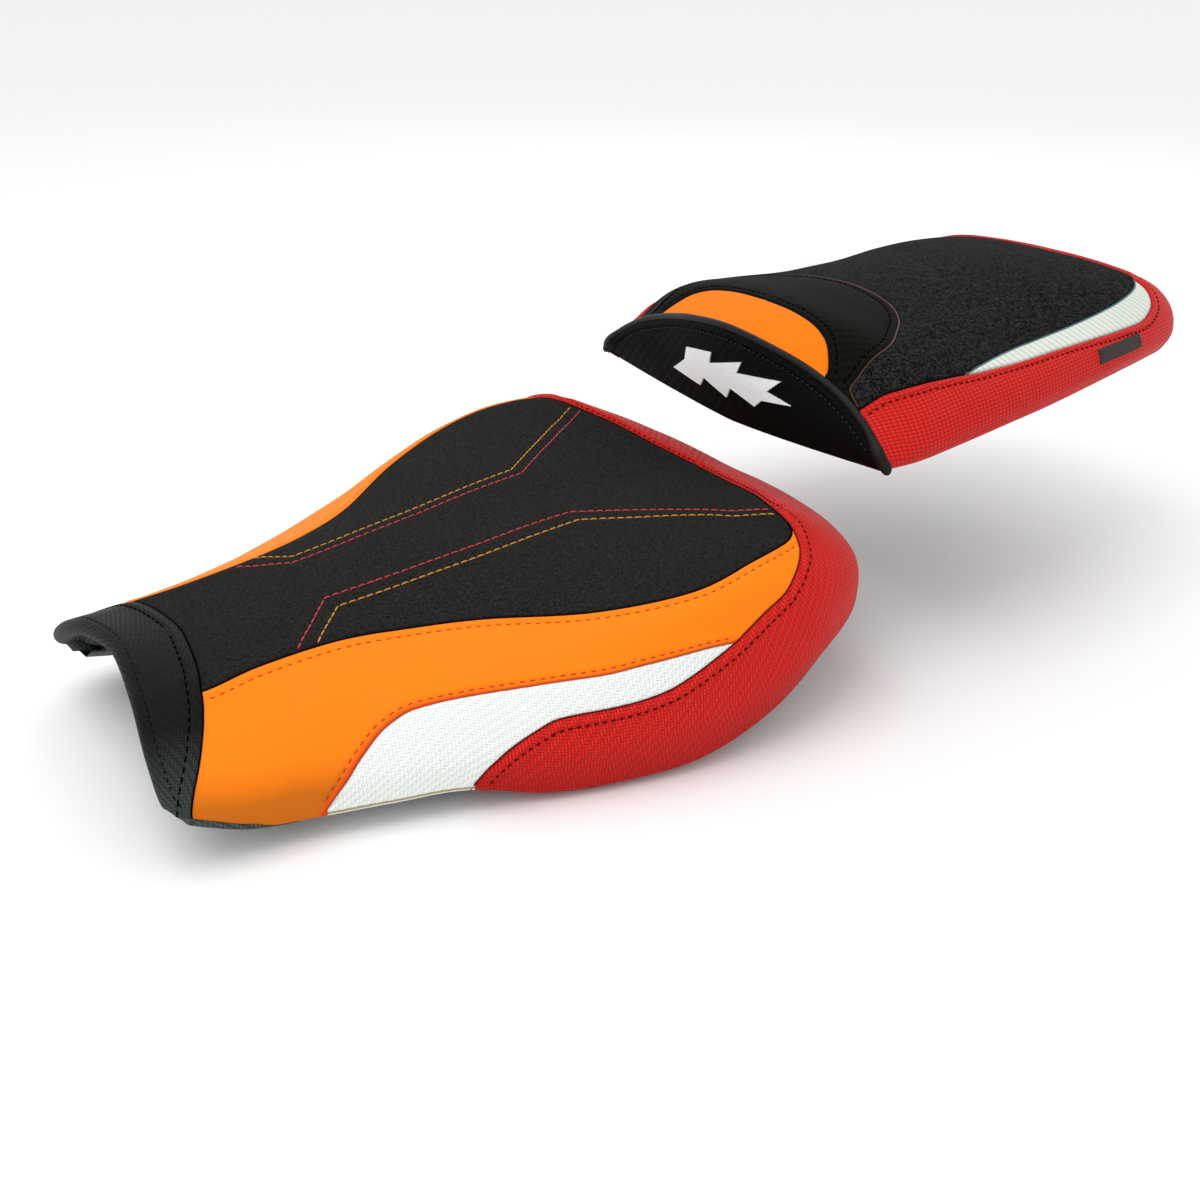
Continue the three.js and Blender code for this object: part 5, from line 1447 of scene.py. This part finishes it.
crossing_cover(
    crescent_look, 'cover_pillion_crescent', inner_at=lambda rise: 0 * rise,
    outer_at=crescent_turn, lowest=0.6, finish='orange_insert',
    stands='pillion_front_insert', length=34, inner_is_seam=False)
crossing_cover(
    arch_look, 'cover_pillion_arch', inner_at=arch_inner,
    outer_at=lambda rise: np.maximum(arch_turn(rise), arch_inner(rise) + 1e-4),
    lowest=0.412, finish='arch_weave', stands='pillion_arch_panel',
    length=46, inner_is_seam=True)
pillion_top_cover()
strip_cover(
    pillion_white_look, 'cover_pillion_insert', (0.0975, 0.3605), low_at=pillion_red_rise,
    high_at=pillion_top_rise, finish='white_rib_pillion',
    stands='pillion_insert', middle=0.4)
strip_cover(
    pillion_red_look, 'cover_pillion_side', (0.0, 0.5),
    low_at=lambda turn: bend_rise(pillion, turn), high_at=pillion_red_rise,
    finish='red_waffle', stands='pillion_side_band', rim=(0.0, 0.5),
    extra_columns=np.linspace(0, 0.012, 8), low_is_seam=False, joined=True)

stitch_line('pillion_red', pillion_red_look, 'thread_dark_red', 'thread_pillion_side',
            'band_red', **BAND_THREAD)
stitch_line('arch', arch_look, 'thread_black', 'thread_pillion_arch_rear', 'leather_black',
            **ARCH_THREAD)
stitch_line('crescent', arch_look, 'thread_black', 'thread_pillion_arch_front',
            'leather_black', **ARCH_THREAD)
seam_cord(pillion, both(pillion_top_seam), 'thread_black', 'seam_pillion_top',
          radius=0.5, sink=0.8)
seam_cord(pillion, both(insert_top), 'thread_slate', 'seam_pillion_insert',
          radius=0.42, sink=0.35)
seam_cord(pillion, both(arch_seam), 'thread_wine', 'seam_pillion_arch',
          radius=0.5, sink=0.35)


# ------------------------------------------------------------------ pillion front face
def front_arch():
    """The pillion's front edge from the left corner over the centre to the right."""
    rise = np.linspace(0.0, 1, 600)
    length = arc_length(pillion.point(0 * rise, rise))
    count = int(length[-1] / (STEP * 1.1))
    rise = np.interp(np.linspace(0, length[-1], count), length, rise)
    arch = pillion.point(0 * rise, rise)
    return np.concatenate([arch, arch[::-1][1:] * np.array([1, -1, 1])])


def front_face(arch):
    """The upright panel under the arch, with a bead and a stitched groove along its top."""
    groove, lip = 6.6, 1.8                       # groove below the arch; lower edge radius
    x, y, z = arch.T
    y, top_x, top_z = y * 0.992, x + 0.2, z - 0.4
    bottom_z = 94.6 + 8.6 * np.minimum(1, np.abs(y) / 121) ** 1.35
    bottom_z = np.minimum(bottom_z - 0.3, top_z - 1.2)
    height = top_z - bottom_z
    t = spread(40.0, row_count(40.0, False), False)
    bulge = np.sin(np.pi * t)[None]
    z = bottom_z[:, None] + height[:, None] * t[None]
    x = (-144 + (top_x[:, None] + 144) * t[None]
         + 1.6 * bulge * np.minimum(1, height / 30)[:, None] + 0.9)
    face = np.stack([x, np.repeat(y[:, None], len(t), 1), z], -1)
    below = Near(arch)(face)
    relief = (0.5 * np.clip(height / 30, 0, 1)[:, None] * bulge
              + 0.9 * np.exp(-((below - 4.0) / 1.5) ** 2)
              - 0.55 * np.exp(-((below - groove) / 0.9) ** 2))
    face[..., 0] += relief * np.clip(height / 14, 0, 1)[:, None]
    # the lower edge turns under
    edge = face[:, 0]
    curl = [edge + np.array([-lip + lip * math.cos(angle), 0, -lip * math.sin(angle)])
            for angle in np.linspace(PI / 2, 0, 5)[:-1]]
    ends = np.clip((121 - np.abs(y)) / 14, 0, 1)[:, None]
    tucked = edge + np.array([-12.0, 0, -1.0]) * ends
    rows = [tucked + (0, 0, 0.8), tucked, curl[0] * 0.5 + tucked * 0.5] + curl
    grid = np.concatenate([np.stack(rows, 1), face], 1)
    uv = np.stack([-np.repeat(y[:, None], grid.shape[1], 1), grid[..., 2]], -1)
    add_grids('cover_pillion_front', [(grid, uv)], 'fascia_weave', PILLION_SEAT,
              ['pillion_front_panel'])
    line = np.array([face[i, np.argmin(np.abs(below[i] - groove))]
                     for i in range(len(y)) if height[i] >= 12])
    normals = np.repeat(np.array([[1.0, 0, 0.1]]), len(line), 0)
    stitches('thread_pillion_front', [(moving_average(line, 2), normals)], 'thread_grey',
             PILLION_SEAT, 'weave_black', pitch=3.6, length=2.3, width=0.26, high=0.05)


def piping(arch):
    """The round bead along the arch, fuller near its ends and tapered at the tips."""
    count, sides = 260, 14
    path = arch + np.array([-0.5, 0, -0.2])
    length = arc_length(path)
    path = interp_points(np.linspace(0, length[-1], count), length, path)
    from_end = np.minimum(np.arange(count), np.arange(count)[::-1]) / (count * 0.055)
    path[:, 2] -= 1.2 * np.clip(1 - from_end, 0, 1) ** 2
    radius = 2.05 + 1.0 * np.exp(-((from_end - 0.55) / 0.5) ** 2)
    radius = radius * np.clip(from_end * 3.2 + 0.3, 0, 1) ** 0.5
    heading = unit(np.gradient(path, axis=0))
    angle = np.linspace(0, 2 * np.pi, sides + 1)
    side = unit(np.cross(heading[0], [0, 0, 1.0]))
    rings = []
    for i in range(count):
        side = unit(side - heading[i] * (side @ heading[i]))
        up = np.cross(heading[i], side)
        rings.append(path[i] + radius[i] * (np.cos(angle)[:, None] * side
                                            + np.sin(angle)[:, None] * up))
    uv = uv_grid(arc_length(path), angle * radius.mean())
    add_grids('piping_pillion', [(np.stack(rings)[:, ::-1], uv[:, ::-1])], 'bead_leather',
              PILLION_SEAT, ['pillion_piping'])


def pinched_corner(side, sign):
    """Pinched leather at a lower front corner: a tilted, three-lobed egg."""
    radius, half_height = 2.9, 4.6
    polar, around = np.meshgrid(np.linspace(0, np.pi, 15), np.linspace(0, 2 * np.pi, 21),
                                indexing='ij')
    lobes = 1 + 0.10 * np.sin(3 * around) * np.sin(polar) ** 2
    egg = np.stack([radius * np.sin(polar) * np.cos(around) * lobes,
                    radius * np.sin(polar) * np.sin(around) * lobes,
                    half_height * np.cos(polar)], -1)
    tilt = math.radians(38) * sign
    rotation = np.array([[1, 0, 0], [0, math.cos(tilt), -math.sin(tilt)],
                         [0, math.sin(tilt), math.cos(tilt)]])
    points = egg @ rotation.T + np.array([-143.2, 121.6 * sign, 104.6])
    add_grids('corner_pillion_' + side, [(points, np.stack([around * 3, polar * 4], -1))],
              'bead_leather', PILLION_SEAT)


def tag():
    """A blank sewn tag on the left of the pillion's side band."""
    long, wide = 26, 14
    turn, rise = np.meshgrid(np.linspace(0.2155, 0.267, long),
                             np.linspace(0.208, 0.312, wide), indexing='ij')
    normals = pillion.local(turn, rise)[3]
    lift = np.full((long, wide), 0.15)
    lift[1:-1, 1:-1] = 0.75
    lift[2:-2, 2:-2] = 0.85
    points = pillion_red_look(turn, rise) + normals * lift[..., None]
    uv = uv_grid(arc_length(points[:, 7]), arc_length(points[13]))
    add_grids('tag_pillion', [(points, uv)], 'tag_cloth', PILLION_SEAT,
              ['pillion_side_tag'])

    def border(grid):
        return np.concatenate([grid[2:24, 1], grid[24, 1:13], grid[2:24, 12][::-1],
                               grid[1, 1:13][::-1], grid[2:3, 1]])
    stitches('thread_tag', [(border(points), border(normals))], 'thread_grey', PILLION_SEAT,
             'tag_black', pitch=2.3, length=1.5, width=0.2, high=0.12, sink=0.15)


ARCH = front_arch()
front_face(ARCH)
piping(ARCH)
pinched_corner('left', 1)
pinched_corner('right', -1)
tag()


# ------------------------------------------------------------------ foam and staples
def foam_piece(net, name, start, stands):
    """The foam between pan and cover, open on the centre plane and mirrored across it."""
    columns, rows = ((90, 34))
    turn, rise = np.meshgrid(start + (0.5 - start) * np.linspace(0, 1, columns),
                             0.03 + 0.97 * np.linspace(0, 1, rows), indexing='ij')
    points, _, _, normals = net.local(turn, rise)
    top = points - normals * 4.7
    bottom = net.pan(turn, np.interp(rise, PAN_RISE, PAN_INWARD))
    bottom[..., 2] += 1.0
    top[..., 2] = np.maximum(top[..., 2], bottom[..., 2] + 0.8)
    climb = np.linspace(0, 1, 6)
    share = climb[None, :, None]
    edge = bottom[:, 0][:, None] * (1 - share) + top[:, 0][:, None] * share
    share = climb[:, None, None]
    front = bottom[0][None] * (1 - share) + top[0][None] * share
    body = np.concatenate([bottom[:, ::-1], edge[:, 1:-1], top], 1)
    grids = [(grid, uv_top(grid)) for grid in (body, front)]
    grids += [(grid * np.array([1, -1, 1]), uv) for grid, uv in flipped(grids)]
    add_grids(name, grids, 'foam', net.seat, [stands])


def staples(net, name):
    """Staples that hold the turned-under edge."""
    turn = np.linspace(0.03, 0.49, 900)
    line = net.pan(turn, np.clip(7.0 / net.pan_half_width(turn), 0, 0.5))
    line[:, 2] -= 3.3 + pan_sag(net, turn)
    down = np.repeat(np.array([[0, 0, -1.0]]), len(line), 0)
    stitches(name, [(line, down), (line * np.array([1, -1, 1]), down)], 'zinc', net.seat,
             'zinc_steel', pitch=19.0, length=9.0, width=0.42, high=0.35, sink=0.35, jitter=0.6)


foam_piece(rider, 'padding_rider', 0.026, 'rider_foam')
foam_piece(pillion, 'padding_pillion', 0.013, 'pillion_foam')
staples(rider, 'staples_rider')
staples(pillion, 'staples_pillion')

# ------------------------------------------------------------------ CAD pieces in view
# words in a piece's name and its finish; the first match counts
CAD_FINISHES = (
    (('emblem',), 'ornament_white'), (('base_pan',), 'pan_plastic'), (('bumper',), 'rubber'),
    (('bolt', 'collar', 'rivet', 'screw'), 'zinc'),
    (('tongue', 'bracket', 'plate', 'prong'), 'zinc_dark'))
for name, piece in frame['nodes'].items():
    if piece.hide_render:
        continue
    finish = next((finish for words, finish in CAD_FINISHES
                   if any(word in name for word in words)), 'zinc')
    piece.data.materials.clear()
    piece.data.materials.append(FINISH[finish])
    piece.data.shade_smooth()
    piece.data.set_sharp_from_angle(angle=math.radians(32))

# ------------------------------------------------------------------ overall size
low = np.array([1e9] * 3)
high = -low
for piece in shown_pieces():
    if piece.type != 'MESH':
        continue
    if 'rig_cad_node' in piece:
        corners = np.array([list(corner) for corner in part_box(piece['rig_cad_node'])])
    else:
        corners = np.empty(len(piece.data.vertices) * 3)
        piece.data.vertices.foreach_get('co', corners)
        world = np.array(piece.matrix_world)
        corners = corners.reshape(-1, 3) @ world[:3, :3].T + world[:3, 3]
    low = np.minimum(low, corners.min(0))
    high = np.maximum(high, corners.max(0))


# ------------------------------------------------------------------ stage, in metres
def add_floor(half, height):
    mesh = bpy.data.meshes.new('floor')
    mesh.from_pydata([(-half, -half, 0), (half, -half, 0), (half, half, 0), (-half, half, 0)],
                     [], [(0, 1, 2, 3)])
    floor = bpy.data.objects.new('floor', mesh)
    floor.location = (0, 0, height)
    scene.collection.objects.link(floor)
    shader = Shader('floor_mat')
    cloud = shader.noise(size=180, detail=2)
    shader.done(shader.mix(cloud * 0.15, (246, 246, 246), (242, 242, 242)), rough=0.9, spec=0.1)
    mesh.materials.append(shader.material)


def aim(thing, direction):
    thing.rotation_euler = Vector(direction).to_track_quat('-Z', 'Y').to_euler()


def area_light(name, location, target, size, power):
    light = bpy.data.lights.new(name, 'AREA')
    light.energy = power
    light.size = size
    light.shape = 'SQUARE'
    lamp = bpy.data.objects.new(name, light)
    lamp.location = location
    aim(lamp, Vector(target) - Vector(location))
    scene.collection.objects.link(lamp)


add_floor(half=6.0, height=-0.0122)
world = scene.world or bpy.data.worlds.new('World')
scene.world = world
world.use_nodes = True
background = world.node_tree.nodes.get('Background')
background.inputs['Color'].default_value = (1, 1, 1, 1)
background.inputs['Strength'].default_value = 0.97

area_light('key', location=(0.55, 0.1, 1.5), target=(-0.05, 0, 0.05), size=1.1, power=9)
area_light('rim', location=(-1.1, -0.9, 1.1), target=(-0.1, 0, 0.1), size=1.2, power=2.5)

lens = bpy.data.cameras.new('camera')
lens.sensor_width = 36
lens.lens = 42.0
lens.clip_start = 0.02
camera = bpy.data.objects.new('camera', lens)
camera.location = (0.31584, 0.57669, 0.3478)
aim(camera, (-0.4874, -0.7506, -0.4462))
scene.collection.objects.link(camera)
scene.camera = camera
scene.view_settings.view_transform = 'Standard'
